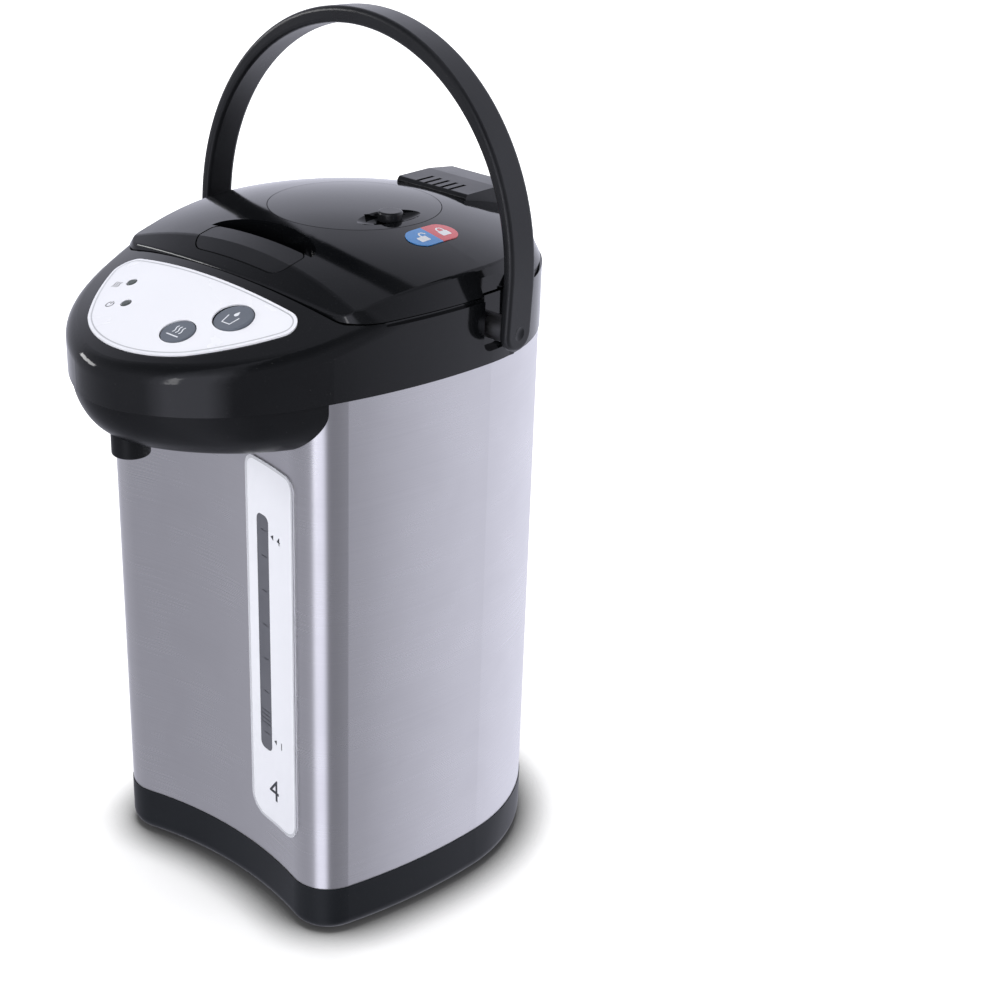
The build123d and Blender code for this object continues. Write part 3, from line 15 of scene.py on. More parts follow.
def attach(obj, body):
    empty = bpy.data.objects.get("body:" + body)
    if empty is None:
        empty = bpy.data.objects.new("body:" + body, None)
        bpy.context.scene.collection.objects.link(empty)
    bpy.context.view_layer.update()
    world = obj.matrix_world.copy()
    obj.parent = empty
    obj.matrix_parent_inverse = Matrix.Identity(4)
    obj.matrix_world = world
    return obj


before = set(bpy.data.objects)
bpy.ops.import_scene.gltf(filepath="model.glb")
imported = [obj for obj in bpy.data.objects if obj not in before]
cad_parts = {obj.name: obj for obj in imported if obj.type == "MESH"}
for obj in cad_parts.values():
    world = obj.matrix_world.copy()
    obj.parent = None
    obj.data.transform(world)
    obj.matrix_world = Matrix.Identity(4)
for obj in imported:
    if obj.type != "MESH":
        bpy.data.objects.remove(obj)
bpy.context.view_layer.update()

bl_info = {
    "name": "Thermo pot finishes",
    "version": (1, 0, 0),
    "blender": (4, 5, 0),
    "location": "View3D > Sidebar > Thermo pot",
    "description": "Finishes, prints and studio for an electric thermo pot",
    "category": "Object",
}

MM = 0.001


# -------- settings
def colour(name, default, description):
    """A colour setting."""
    return FloatVectorProperty(
        name=name, description=description, subtype="COLOR", size=3, min=0.0, max=1.0, default=default)


def length(name, millimetres, description):
    """A length setting, with its default in millimetres."""
    return FloatProperty(name=name, description=description, unit="LENGTH", default=millimetres * MM)


def share(name, default, description):
    """A setting from 0 to 1."""
    return FloatProperty(
        name=name, description=description, subtype="FACTOR", min=0.0, max=1.0, default=default)


def power(name, watts, description):
    """A lamp's power setting."""
    return FloatProperty(name=name, description=description, unit="POWER", default=watts)


class FinishSettings(bpy.types.PropertyGroup):
    """Colours and gloss of the pot's pieces."""
    steel: colour("Steel", (0.72, 0.71, 0.72), "Brushed steel of the casing")
    steel_roughness: share("Steel roughness", 0.26, "How blurred the casing's reflections are")
    gloss_black: colour("Gloss black", (0.0030, 0.0034, 0.0042), "Lid and upper housing")
    gloss_roughness: share("Gloss roughness", 0.07, "Roughness of the gloss plastic")
    satin_black: colour("Satin black", (0.0065, 0.007, 0.0085), "Handle, tray, latch and nozzle")
    skirt_black: colour("Skirt", (0.008, 0.0095, 0.012), "Base skirt")
    panel_white: colour("Panel white", (0.83, 0.84, 0.91), "Control panel overlay and level strip")
    button_slate: colour("Button slate", (0.105, 0.12, 0.15), "The two round buttons")
    lamp_tint: colour("Lamp tint", (0.10, 0.115, 0.115), "Unlit lamp lenses")
    open_blue: colour("Open blue", (0.045, 0.22, 0.56), "Front half of the lock label")
    shut_red: colour("Shut red", (0.56, 0.075, 0.09), "Rear half of the lock label")
    window_grey: colour("Window grey", (0.105, 0.108, 0.13), "Tinted level window")
    milky: colour("Milky plastic", (0.62, 0.68, 0.74), "Clear drum under the lid")


class PrintSettings(bpy.types.PropertyGroup):
    """Sizes and inks of the prints."""
    ink: colour("Ink", (0.022, 0.024, 0.032), "Dark printing ink")
    pale_ink: colour("Pale ink", (0.70, 0.72, 0.78), "Light ink on the buttons and the label")
    border_ink: colour("Border ink", (0.42, 0.43, 0.47), "Thin border of the panel")
    strip_edge: colour("Strip edge", (0.52, 0.53, 0.58), "Clear edge of the level strip")
    ink_thickness: length("Ink thickness", 0.05, "How far a print stands proud")
    border_width: length("Border width", 0.6, "Width of the panel's border line")
    border_inset: length("Border inset", 1.7, "Panel edge to border line")
    strip_edge_width: length("Strip edge width", 1.5, "Width of the strip's clear edge")
    tick_pitch: length("Tick pitch", 19.6, "Distance between the level marks")
    tick_count: IntProperty(name="Ticks", description="Number of evenly spaced level marks", default=5)
    fine_pitch: length("Fine pitch", 2.5, "Distance between the low-water lines")
    fine_count: IntProperty(name="Low-water lines", description="Number of low-water lines", default=4)


class StudioSettings(bpy.types.PropertyGroup):
    """Camera, lamps and surroundings."""
    camera_place: FloatVectorProperty(
        name="Camera place", description="Where the camera stands", subtype="TRANSLATION",
        default=(0.68572, -0.67765, 0.64536))
    camera_turn: FloatVectorProperty(
        name="Camera turn", description="How the camera is turned", subtype="EULER",
        default=tuple(math.radians(angle) for angle in (65.0934, -1.9307, 41.3972)))
    camera_lens: FloatProperty(name="Lens", description="Focal length on a 36 mm sensor", default=69.66)
    floor_colour: colour("Floor", (0.86, 0.86, 0.87), "Floor")
    glow_tint: colour("Glow tint", (0.86, 0.87, 1.0), "Cool tint of what the shiny pieces mirror")
    overhead_power: power("Overhead", 18.0, "Overhead softbox")
    front_power: power("Front", 1.5, "Narrow softbox in front")
    fill_power: power("Fill", 19.0, "Wide softbox before the pot")
    side_power: power("Side", 12.0, "Softbox on the right")
    left_power: power("Left", 5.0, "Softbox on the left")


def settings():
    """The three groups of settings of this scene."""
    scene = bpy.context.scene
    return scene.pot_finish, scene.pot_print, scene.pot_studio


# -------- shader groups
SURFACE_OUTPUTS = (("Colour", "Color"), ("Roughness", "Float"), ("Height", "Float"))


def new_group(name, inputs, outputs):
    """A shader node group with named sockets; returns the tree and its two end nodes."""
    tree = bpy.data.node_groups.new(name, "ShaderNodeTree")
    for socket_name, kind, default in inputs:
        socket = tree.interface.new_socket(socket_name, in_out="INPUT", socket_type="NodeSocket" + kind)
        socket.default_value = default
    for socket_name, kind in outputs:
        tree.interface.new_socket(socket_name, in_out="OUTPUT", socket_type="NodeSocket" + kind)
    start = tree.nodes.new("NodeGroupInput")
    end = tree.nodes.new("NodeGroupOutput")
    return tree, start, end


def add_node(tree, kind, links=(), **values):
    """A node with its settings, and links given as (input, output socket or value)."""
    node = tree.nodes.new(kind)
    for name, value in values.items():
        setattr(node, name, value)
    for key, source in links:
        if isinstance(source, bpy.types.NodeSocket):
            tree.links.new(source, node.inputs[key])
        else:
            node.inputs[key].default_value = source
    return node


def remap(tree, source, low, high, new_low, new_high):
    """A value drawn from one range to another."""
    node = add_node(tree, "ShaderNodeMapRange", [
        ("Value", source), ("From Min", low), ("From Max", high), ("To Min", new_low), ("To Max", new_high)])
    return node.outputs["Result"]


def math_node(tree, operation, first, second):
    """One sum."""
    return add_node(tree, "ShaderNodeMath", [(0, first), (1, second)], operation=operation).outputs[0]


def mix_colour(tree, factor, first, second):
    """A colour between two others."""
    ends = [end if isinstance(end, bpy.types.NodeSocket) else (*end, 1.0) for end in (first, second)]
    node = add_node(tree, "ShaderNodeMix", [(0, factor), (6, ends[0]), (7, ends[1])], data_type="RGBA")
    return node.outputs[2]


def mix_value(tree, factor, first, second):
    """A value between two others."""
    node = add_node(tree, "ShaderNodeMix", [(0, factor), (2, first), (3, second)], data_type="FLOAT")
    return node.outputs[0]


def noise(tree, vector, scale, detail=2.0, distortion=0.0):
    """Noise in a place's coordinates, as a value about one half."""
    node = add_node(tree, "ShaderNodeTexNoise", [
        ("Vector", vector), ("Scale", scale), ("Detail", detail), ("Distortion", distortion)])
    return node.outputs["Fac"]


def moulded_group():
    """Moulded plastic: fine grain, faint handling marks in the gloss, and a little dust."""
    inputs = [
        ("Colour", "Color", (0.1, 0.1, 0.1, 1.0)), ("Paler", "Color", (0.2, 0.2, 0.2, 1.0)),
        ("Roughness", "Float", 0.3), ("Roughness change", "Float", 0.05), ("Grain scale", "Float", 1500.0),
        ("Marks scale", "Float", 30.0), ("Dust", "Float", 0.02)]
    tree, start, end = new_group("moulded surface", inputs, SURFACE_OUTPUTS)
    place = add_node(tree, "ShaderNodeTexCoord").outputs["Object"]
    grain = noise(tree, place, start.outputs["Grain scale"], 3.0)
    marks = remap(tree, noise(tree, place, start.outputs["Marks scale"], 4.0, 0.5), 0.35, 0.7, 0.0, 1.0)
    change = math_node(tree, "MULTIPLY", marks, start.outputs["Roughness change"])
    rough = math_node(tree, "ADD", start.outputs["Roughness"], change)
    specks = remap(tree, noise(tree, place, 1400.0, 1.0), 0.74, 0.80, 0.0, 1.0)
    dust = math_node(tree, "MULTIPLY", specks, start.outputs["Dust"])
    cloud = math_node(tree, "MULTIPLY", marks, 0.5)
    shaded = mix_colour(tree, cloud, start.outputs["Colour"], start.outputs["Paler"])
    dusty = mix_colour(tree, dust, shaded, (0.5, 0.5, 0.5))
    tree.links.new(dusty, end.inputs["Colour"])
    tree.links.new(rough, end.inputs["Roughness"])
    tree.links.new(grain, end.inputs["Height"])
    return tree


def brushed_group():
    """Brushed metal: hairlines that run level round the piece, with soft clouds in colour and gloss."""
    inputs = [
        ("Colour", "Color", (0.6, 0.6, 0.6, 1.0)), ("Darker", "Color", (0.5, 0.5, 0.5, 1.0)),
        ("Roughness", "Float", 0.3), ("Roughness change", "Float", 0.1), ("Line density", "Float", 2400.0)]
    tree, start, end = new_group("brushed surface", inputs, SURFACE_OUTPUTS)
    place = add_node(tree, "ShaderNodeTexCoord").outputs["Object"]
    parts = add_node(tree, "ShaderNodeSeparateXYZ", [("Vector", place)])
    flat_x = math_node(tree, "MULTIPLY", parts.outputs["X"], 9.0)
    flat_y = math_node(tree, "MULTIPLY", parts.outputs["Y"], 9.0)
    tall_z = math_node(tree, "MULTIPLY", parts.outputs["Z"], start.outputs["Line density"])
    stretched = add_node(tree, "ShaderNodeCombineXYZ", [("X", flat_x), ("Y", flat_y), ("Z", tall_z)])
    lines = noise(tree, stretched.outputs[0], 1.0, 4.0)
    clouds = remap(tree, noise(tree, place, 30.0, 2.0, 0.3), 0.3, 0.7, 0.0, 1.0)
    streaks = remap(tree, lines, 0.3, 0.7, 0.0, 1.0)
    both = math_node(tree, "MULTIPLY", math_node(tree, "ADD", clouds, streaks), 0.5)
    change = math_node(tree, "MULTIPLY", both, start.outputs["Roughness change"])
    shaded = mix_colour(tree, both, start.outputs["Colour"], start.outputs["Darker"])
    tree.links.new(shaded, end.inputs["Colour"])
    tree.links.new(math_node(tree, "ADD", start.outputs["Roughness"], change), end.inputs["Roughness"])
    tree.links.new(lines, end.inputs["Height"])
    return tree


def group_called(name, make):
    """A shader group, made the first time it is asked for."""
    return bpy.data.node_groups.get(name) or make()


def finish_material(name, group, group_values, bump, **shader_values):
    """A material whose colour, roughness and bump come from a group, with plain values on its shader."""
    material = bpy.data.materials.new(name)
    material.use_nodes = True
    tree = material.node_tree
    shader = tree.nodes["Principled BSDF"]
    surface = tree.nodes.new("ShaderNodeGroup")
    surface.node_tree = group
    for socket_name, value in group_values.items():
        surface.inputs[socket_name].default_value = value
    tree.links.new(surface.outputs["Colour"], shader.inputs["Base Color"])
    tree.links.new(surface.outputs["Roughness"], shader.inputs["Roughness"])
    strength, distance = bump
    relief = add_node(tree, "ShaderNodeBump", [
        ("Strength", strength), ("Distance", distance * MM), ("Height", surface.outputs["Height"])])
    tree.links.new(relief.outputs["Normal"], shader.inputs["Normal"])
    for socket_name, value in shader_values.items():
        shader.inputs[socket_name.replace("_", " ")].default_value = value
    return material


def plastic(name, base, paler=None, roughness=0.3, change=0.08, grain=1500.0, marks=30.0, dust=0.02,
            bump=(0.25, 0.02), **shader_values):
    """A moulded plastic, rubber, lacquer or ink."""
    paler = paler or tuple(min(1.0, value * 1.25 + 0.003) for value in base)
    values = {
        "Colour": (*base, 1.0), "Paler": (*paler, 1.0), "Roughness": roughness, "Roughness change": change,
        "Grain scale": grain, "Marks scale": marks, "Dust": dust}
    group = group_called("moulded surface", moulded_group)
    return finish_material(name, group, values, bump, **shader_values)


def metal(name, base, roughness=0.3, change=0.1, density=2400.0, bump=(0.25, 0.02), darker=0.92,
          **shader_values):
    """A brushed, drawn or turned metal."""
    values = {
        "Colour": (*base, 1.0), "Darker": (*[value * darker for value in base], 1.0),
        "Roughness": roughness, "Roughness change": change, "Line density": density}
    group = group_called("brushed surface", brushed_group)
    return finish_material(name, group, values, bump, Metallic=1.0, **shader_values)


def dress(material, *nodes):
    """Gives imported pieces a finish."""
    for node in nodes:
        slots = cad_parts[node].data.materials
        slots.clear()
        slots.append(material)


# -------- surfaces that carry prints
panel_tilt = math.radians(18.7)
panel_crown = 300.0
panel_ridge = 377.6
panel_proud = 0.8
button_proud = 1.0
front_radius = 221.5
front_depth = 92.9
strip_proud = 0.85
dome_centre = 66.0
label_radius = 300.4


def slope_height(x, y, radius):
    """Height of the beak's crowned slope, for a drum of a given radius about the crown's axis."""
    fall = panel_crown - math.sqrt(radius ** 2 - x ** 2)
    return panel_ridge + y * math.tan(panel_tilt) - fall / math.cos(panel_tilt)


def on_panel(x, y, lift):
    """A place on the control panel, in millimetres."""
    return Vector((x, y, slope_height(x, y, panel_crown + panel_proud + lift)))


def on_button(spot):
    """Places on the flat top of a button, drawn about its middle."""
    x, y = spot
    middle = Vector((x, y, slope_height(x, y, panel_crown)))
    turn = Matrix.Rotation(panel_tilt, 3, "X")
    return lambda u, v, lift: middle + turn @ Vector((u, v, button_proud + lift))


def on_strip(x, z, lift):
    """A place on the level strip or the window."""
    radius = front_radius - strip_proud - lift
    return Vector((x, math.sqrt(radius ** 2 - x ** 2) - front_depth - front_radius, z))


def on_label(spot):
    """Places on the lock label, drawn upright for someone on the right of the pot."""
    x, y = spot

    def place(u, v, lift):
        across = x - v
        along = y + u
        height = math.sqrt((label_radius + lift) ** 2 - across ** 2 - along ** 2)
        return Vector((across, along, dome_centre + height))

    return place


# -------- flat drawing
def draw_stroke(mesh, points, width, closed=False):
    """A line of one width along points."""
    count = len(points)
    lefts, rights = [], []
    for index in range(count):
        before = points[index - 1] if index or closed else points[index]
        after = points[(index + 1) % count] if index < count - 1 or closed else points[index]
        run = (Vector(after) - Vector(before)).normalized()
        aside = Vector((-run.y, run.x)) * width / 2
        lefts.append(mesh.verts.new((*(Vector(points[index]) + aside), 0)))
        rights.append(mesh.verts.new((*(Vector(points[index]) - aside), 0)))
    for index in range(count if closed else count - 1):
        after = (index + 1) % count
        mesh.faces.new((lefts[index], rights[index], rights[after], lefts[after]))


def draw_shape(mesh, points):
    """A filled shape."""
    mesh.faces.new([mesh.verts.new((*point, 0)) for point in points])


def arc_points(centre, radius, start, end, steps=24):
    """Points along an arc, with its angles in degrees."""
    turns = [math.radians(start + (end - start) * step / steps) for step in range(steps + 1)]
    return [(centre[0] + radius * math.cos(turn), centre[1] + radius * math.sin(turn)) for turn in turns]


def rounded_box(centre, width, height, radius, upper_radius=None):
    """Outline of a box with round corners."""
    upper_radius = upper_radius or radius
    points = []
    for side_x, side_y, start in ((1, 1, 0), (-1, 1, 90), (-1, -1, 180), (1, -1, 270)):
        bend = upper_radius if side_y > 0 else radius
        corner = (centre[0] + side_x * (width / 2 - bend), centre[1] + side_y * (height / 2 - bend))
        points += arc_points(corner, bend, start, start + 90, 8)
    return points


def long_sides_cut(points, step):
    """The same closed outline with no run longer than a step."""
    cut = []
    for index, point in enumerate(points):
        after = points[(index + 1) % len(points)]
        run = Vector(after) - Vector(point)
        pieces = max(1, math.ceil(run.length / step))
        cut += [tuple(Vector(point) + run * part / pieces) for part in range(pieces)]
    return cut


def draw_text(mesh, text, height, centre, bold):
    """Digits of a given height about a centre."""
    curve = bpy.data.curves.new("digits", "FONT")
    curve.body = text
    curve.size = 1.0
    curve.offset = bold
    curve.resolution_u = 6
    carrier = bpy.data.objects.new("digits", curve)
    bpy.context.collection.objects.link(carrier)
    bpy.context.view_layer.update()
    flat = bpy.data.meshes.new_from_object(carrier.evaluated_get(bpy.context.evaluated_depsgraph_get()))
    xs = [vertex.co.x for vertex in flat.vertices]
    ys = [vertex.co.y for vertex in flat.vertices]
    scale = height / (max(ys) - min(ys))
    middle = Vector(((max(xs) + min(xs)) / 2, (max(ys) + min(ys)) / 2, 0))
    flat.transform(Matrix.Translation((*centre, 0)) @ Matrix.Scale(scale, 4) @ Matrix.Translation(-middle))
    mesh.from_mesh(flat)
    bpy.data.objects.remove(carrier)
    bpy.data.curves.remove(curve)
    bpy.data.meshes.remove(flat)


least_lift = 0.01    # millimetres between a print's underside and the surface below it


def make_print(name, draw, place, material, body):
    """A thin print: drawn flat, given its thickness, laid on a surface and fixed to a body."""
    thickness = bpy.context.scene.pot_print.ink_thickness / MM
    mesh = bmesh.new()
    draw(mesh)
    bmesh.ops.remove_doubles(mesh, verts=mesh.verts[:], dist=0.0005)
    bmesh.ops.triangulate(mesh, faces=mesh.faces[:])
    bmesh.ops.recalc_face_normals(mesh, faces=mesh.faces[:])
    for face in mesh.faces:
        if face.normal.z < 0:
            face.normal_flip()
    bmesh.ops.solidify(mesh, geom=mesh.faces[:], thickness=-thickness)
    for vertex in mesh.verts:
        lift = max(least_lift, min(thickness, abs(vertex.co.z)))
        vertex.co = place(vertex.co.x, vertex.co.y, lift) * MM
    bmesh.ops.recalc_face_normals(mesh, faces=mesh.faces[:])
    return finished_piece(name, mesh, material, body)


def finished_piece(name, mesh, material, body):
    """Turns drawn mesh data into an object that rides on a body."""
    data = bpy.data.meshes.new(name)
    mesh.to_mesh(data)
    mesh.free()
    data.materials.append(material)
    piece = bpy.data.objects.new(name, data)
    bpy.context.collection.objects.link(piece)
    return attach(piece, body)


# -------- repeats
def bars_up_a_line():
    """A geometry node tree that makes level bars, evenly spaced up a line."""
    tree = bpy.data.node_groups.new("bars up a line", "GeometryNodeTree")
    inputs = (("Geometry", "Geometry"), ("Count", "Int"), ("Pitch", "Float"), ("Bar size", "Vector"),
              ("First", "Vector"), ("Turn", "Float"), ("Material", "Material"))
    for socket_name, kind in inputs:
        tree.interface.new_socket(socket_name, in_out="INPUT", socket_type="NodeSocket" + kind)
    tree.interface.new_socket("Geometry", in_out="OUTPUT", socket_type="NodeSocketGeometry")
    start = tree.nodes.new("NodeGroupInput")
    end = tree.nodes.new("NodeGroupOutput")
    step = add_node(tree, "ShaderNodeCombineXYZ", [("Z", start.outputs["Pitch"])])
    line = add_node(tree, "GeometryNodeMeshLine", [
        ("Count", start.outputs["Count"]), ("Start Location", start.outputs["First"]),
        ("Offset", step.outputs["Vector"])])
    bar = add_node(tree, "GeometryNodeMeshCube", [("Size", start.outputs["Bar size"])])
    turn = add_node(tree, "ShaderNodeCombineXYZ", [("Z", start.outputs["Turn"])])
    copies = add_node(tree, "GeometryNodeInstanceOnPoints", [
        ("Points", line.outputs["Mesh"]), ("Instance", bar.outputs["Mesh"]),
        ("Rotation", turn.outputs["Vector"])])
    real = add_node(tree, "GeometryNodeRealizeInstances", [("Geometry", copies.outputs[0])])
    painted = add_node(tree, "GeometryNodeSetMaterial", [
        ("Geometry", real.outputs["Geometry"]), ("Material", start.outputs["Material"])])
    tree.links.new(painted.outputs["Geometry"], end.inputs["Geometry"])
    return tree


def repeated_piece(name, tree, values, body):
    """Runs a tree on an empty mesh and keeps the plain mesh that comes out."""
    carrier = bpy.data.objects.new(name + "_carrier", bpy.data.meshes.new(name + "_carrier"))
    bpy.context.collection.objects.link(carrier)
    modifier = carrier.modifiers.new("repeat", "NODES")
    modifier.node_group = tree
    for item in tree.interface.items_tree:
        if item.item_type == "SOCKET" and item.in_out == "INPUT" and item.name in values:
            modifier[item.identifier] = values[item.name]
    bpy.context.view_layer.update()
    data = bpy.data.meshes.new_from_object(carrier.evaluated_get(bpy.context.evaluated_depsgraph_get()))
    data.name = name
    bpy.data.objects.remove(carrier)
    piece = bpy.data.objects.new(name, data)
    bpy.context.collection.objects.link(piece)
    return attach(piece, body)


# -------- operators: finishes
class POT_OT_steel_finishes(bpy.types.Operator):
    """Brushed casing, drawn pot and lid plate, pins and screws"""
    bl_idname = "pot.steel_finishes"
    bl_label = "Steel finishes"

    def execute(self, context):
        finish, _, _ = settings()
        casing = metal(
            "brushed casing steel", tuple(finish.steel), finish.steel_roughness, 0.05, 2600.0,
            bump=(0.04, 0.01), Anisotropic=0.75, Anisotropic_Rotation=0.25)
        tree = casing.node_tree
        tangent = add_node(tree, "ShaderNodeTangent", direction_type="RADIAL", axis="Z")
        tree.links.new(tangent.outputs["Tangent"], tree.nodes["Principled BSDF"].inputs["Tangent"])
        dress(casing, "outer_casing")
        drawn = metal("drawn pot steel", (0.56, 0.56, 0.57), 0.24, 0.12, 900.0, bump=(0.2, 0.03))
        dress(drawn, "inner_pot")
        pressed = metal("pressed plate steel", (0.66, 0.66, 0.66), 0.2, 0.1, 500.0, bump=(0.1, 0.02))
        dress(pressed, "inner_lid_plate")
        plain = metal("plain pin steel", (0.42, 0.42, 0.43), 0.32, 0.15, 1800.0)
        dress(plain, "hinge_pin", "handle_pins", "bellows_spring", "pump_motor")
        zinc = metal("zinc screw", (0.50, 0.49, 0.46), 0.36, 0.2, 3000.0)
        dress(zinc, "cover_screws", "tray_screws")
        band = metal("heater band", (0.46, 0.45, 0.42), 0.4, 0.2, 1200.0)
        dress(band, "boil_heater", "warm_heater", "thermal_fuse")
        return {"FINISHED"}


class POT_OT_plastic_finishes(bpy.types.Operator):
    """Gloss, satin and moulded plastics of everything that shows"""
    bl_idname = "pot.plastic_finishes"
    bl_label = "Plastic finishes"

    def execute(self, context):
        finish, _, _ = settings()
        self.dress_black_pieces(finish)
        self.dress_white_pieces(tuple(finish.panel_white))
        self.dress_small_pieces(finish)
        return {"FINISHED"}

    def dress_black_pieces(self, finish):
        gloss = plastic(
            "gloss black plastic", tuple(finish.gloss_black), roughness=finish.gloss_roughness, change=0.04,
            grain=420.0, marks=18.0, dust=0.05, bump=(0.03, 0.02), Specular_IOR_Level=0.42)
        dress(gloss, "lid_shell", "upper_housing", "press_plate")
        satin_black = tuple(finish.satin_black)
        satin = plastic(
            "satin black plastic", satin_black, roughness=0.27, change=0.08, grain=2600.0, marks=26.0,
            dust=0.05, bump=(0.18, 0.02), Specular_IOR_Level=0.42)
        dress(satin, "handle_bail", "lid_latch", "lock_lever", "steam_vent_cover", "hinge_bracket")
        tray = plastic(
            "tray plastic", satin_black, roughness=0.3, change=0.08, grain=2600.0, marks=26.0,
            dust=0.05, bump=(0.18, 0.02), Specular_IOR_Level=0.14)
        dress(tray, "beak_tray", "nozzle")
        skirt = plastic(
            "base skirt plastic", tuple(finish.skirt_black), roughness=0.38, change=0.10, grain=2200.0,
            marks=22.0, dust=0.06, bump=(0.25, 0.025), Specular_IOR_Level=0.2)
        dress(skirt, "base_skirt")
        cover = plastic(
            "bottom cover plastic", (0.02, 0.022, 0.026), roughness=0.5, grain=1800.0, dust=0.15,
            bump=(0.4, 0.04))
        dress(cover, "bottom_cover", "power_inlet")
        rubber = plastic("foot rubber", (0.03, 0.03, 0.031), roughness=0.8, grain=2600.0, bump=(0.5, 0.03))
        dress(rubber, "foot_pads")

    def dress_white_pieces(self, white):
        paler = tuple(value * 0.97 for value in white)
        film = plastic(
            "panel overlay film", white, paler, 0.24, 0.05, 3200.0, 20.0, 0.02, bump=(0.12, 0.012),
            Coat_Weight=0.4, Coat_Roughness=0.12)
        dress(film, "control_panel")
        strip = plastic(
            "level strip plastic", white, paler, 0.2, 0.05, 3000.0, 16.0, 0.02, bump=(0.06, 0.012),
            Coat_Weight=0.5, Coat_Roughness=0.08)
        dress(strip, "level_strip")

    def dress_small_pieces(self, finish):
        caps = plastic(
            "button rubber", tuple(finish.button_slate), roughness=0.42, change=0.1, grain=2600.0,
            bump=(0.35, 0.02))
        dress(caps, "dispense_button", "reboil_button")
        lens = plastic(
            "lamp lens", tuple(finish.lamp_tint), roughness=0.12, change=0.04, grain=900.0,
            bump=(0.05, 0.01), Transmission_Weight=0.35, Coat_Weight=0.5)
        dress(lens, "lamp_lenses")
        window = plastic(
            "level window plastic", tuple(finish.window_grey), roughness=0.16, change=0.06, grain=1200.0,
            bump=(0.05, 0.01), Transmission_Weight=0.15, Coat_Weight=0.3)
        dress(window, "level_window")
        labels = (("open label lacquer", finish.open_blue, "label_unlocked"),
                  ("shut label lacquer", finish.shut_red, "label_locked"))
        for name, base, node in labels:
            lacquer = plastic(
                name, tuple(base), roughness=0.22, change=0.06, dust=0.01, bump=(0.08, 0.01),
                Coat_Weight=0.5)
            dress(lacquer, node)


class POT_OT_inner_finishes(bpy.types.Operator):
    """Milky lid drum, seals, hoses, boards and the other inner pieces"""
    bl_idname = "pot.inner_finishes"
    bl_label = "Inner finishes"

    def execute(self, context):
        finish, _, _ = settings()
        milky = tuple(finish.milky)
        drum = plastic(
            "milky lid plastic", milky, tuple(value * 0.94 for value in milky), 0.3, 0.1, 1400.0, 18.0, 0.02,
            bump=(0.15, 0.03), Transmission_Weight=0.45)
        dress(drum, "inner_lid_drum")
        silicone = plastic(
            "white silicone", (0.72, 0.72, 0.70), roughness=0.45, change=0.1, bump=(0.2, 0.03),
            Subsurface_Weight=0.15)
        dress(silicone, "lid_gasket", "intake_hose", "outlet_hose", "spout_hose", "tube_couplings")
        rubber = plastic(
            "bellows rubber", (0.32, 0.33, 0.34), roughness=0.55, change=0.1, bump=(0.3, 0.03))
        dress(rubber, "bellows")
        glass = plastic(
            "clear level glass", (0.86, 0.89, 0.90), roughness=0.04, change=0.03, dust=0.0,
            bump=(0.02, 0.01), Transmission_Weight=0.9)
        dress(glass, "level_tube")
        felt = plastic(
            "grey felt", (0.42, 0.41, 0.39), roughness=0.9, change=0.05, grain=900.0, marks=60.0,
            bump=(0.9, 0.3))
        dress(felt, "insulation")
        lacquer = plastic(
            "circuit board lacquer", (0.03, 0.16, 0.07), roughness=0.35, change=0.15, grain=500.0,
            marks=220.0, bump=(0.3, 0.05))
        dress(lacquer, "power_board", "control_board")
        nylon = plastic("natural nylon", (0.60, 0.58, 0.52), roughness=0.4, change=0.1)
        dress(nylon, "pump_housing", "pump_impeller", "spout_valve", "pump_mount")
        bakelite = plastic("dark bakelite", (0.05, 0.035, 0.028), roughness=0.35, change=0.12)
        dress(bakelite, "thermostats", "tact_switches")
        return {"FINISHED"}


# -------- operators: prints and fittings
def circle_through(start, middle, end):
    """Centre, as a complex number, and radius of the circle through three points."""
    first, second, third = (complex(*point) for point in (start, middle, end))
    ratio = (third - first) / (second - first)
    centre = first - (first - second) * (ratio - abs(ratio) ** 2) / (2j * ratio.imag)
    return centre, abs(first - centre)


def three_point_arc(start, middle, end, steps):
    """Points on the arc through three points, without its end."""
    first, second, third = (complex(*point) for point in (start, middle, end))
    centre, radius = circle_through(start, middle, end)
    begin, way, finish = [
        math.atan2((point - centre).imag, (point - centre).real) for point in (first, second, third)]
    half = (way - begin + math.pi) % (2 * math.pi) - math.pi
    rest = (finish - way + math.pi) % (2 * math.pi) - math.pi
    sweep = half + rest
    points = []
    for step in range(steps):
        angle = begin + sweep * step / steps
        points.append((centre.real + radius * math.cos(angle), centre.imag + radius * math.sin(angle)))
    return points


def round_tip(top, side, radius):
    """Start, middle and end of the arc that rounds the tip between the panel's top and side circles."""
    (top_centre, top_radius), (side_centre, side_radius) = top, side
    gap = abs(side_centre - top_centre)
    near, far = top_radius + radius, side_radius - radius
    along = (near ** 2 - far ** 2 + gap ** 2) / (2 * gap)
    aside = math.sqrt(near ** 2 - along ** 2)
    way = (side_centre - top_centre) / gap
    meetings = [top_centre + way * complex(along, turn * aside) for turn in (1, -1)]
    centre = max(meetings, key=lambda meeting: meeting.real)
    start = centre + (top_centre - centre) / abs(top_centre - centre) * radius
    end = centre + (centre - side_centre) / abs(centre - side_centre) * radius
    outwards = (start + end) / 2 - centre
    middle = centre + outwards / abs(outwards) * radius
    return [(point.real, point.imag) for point in (start, middle, end)]


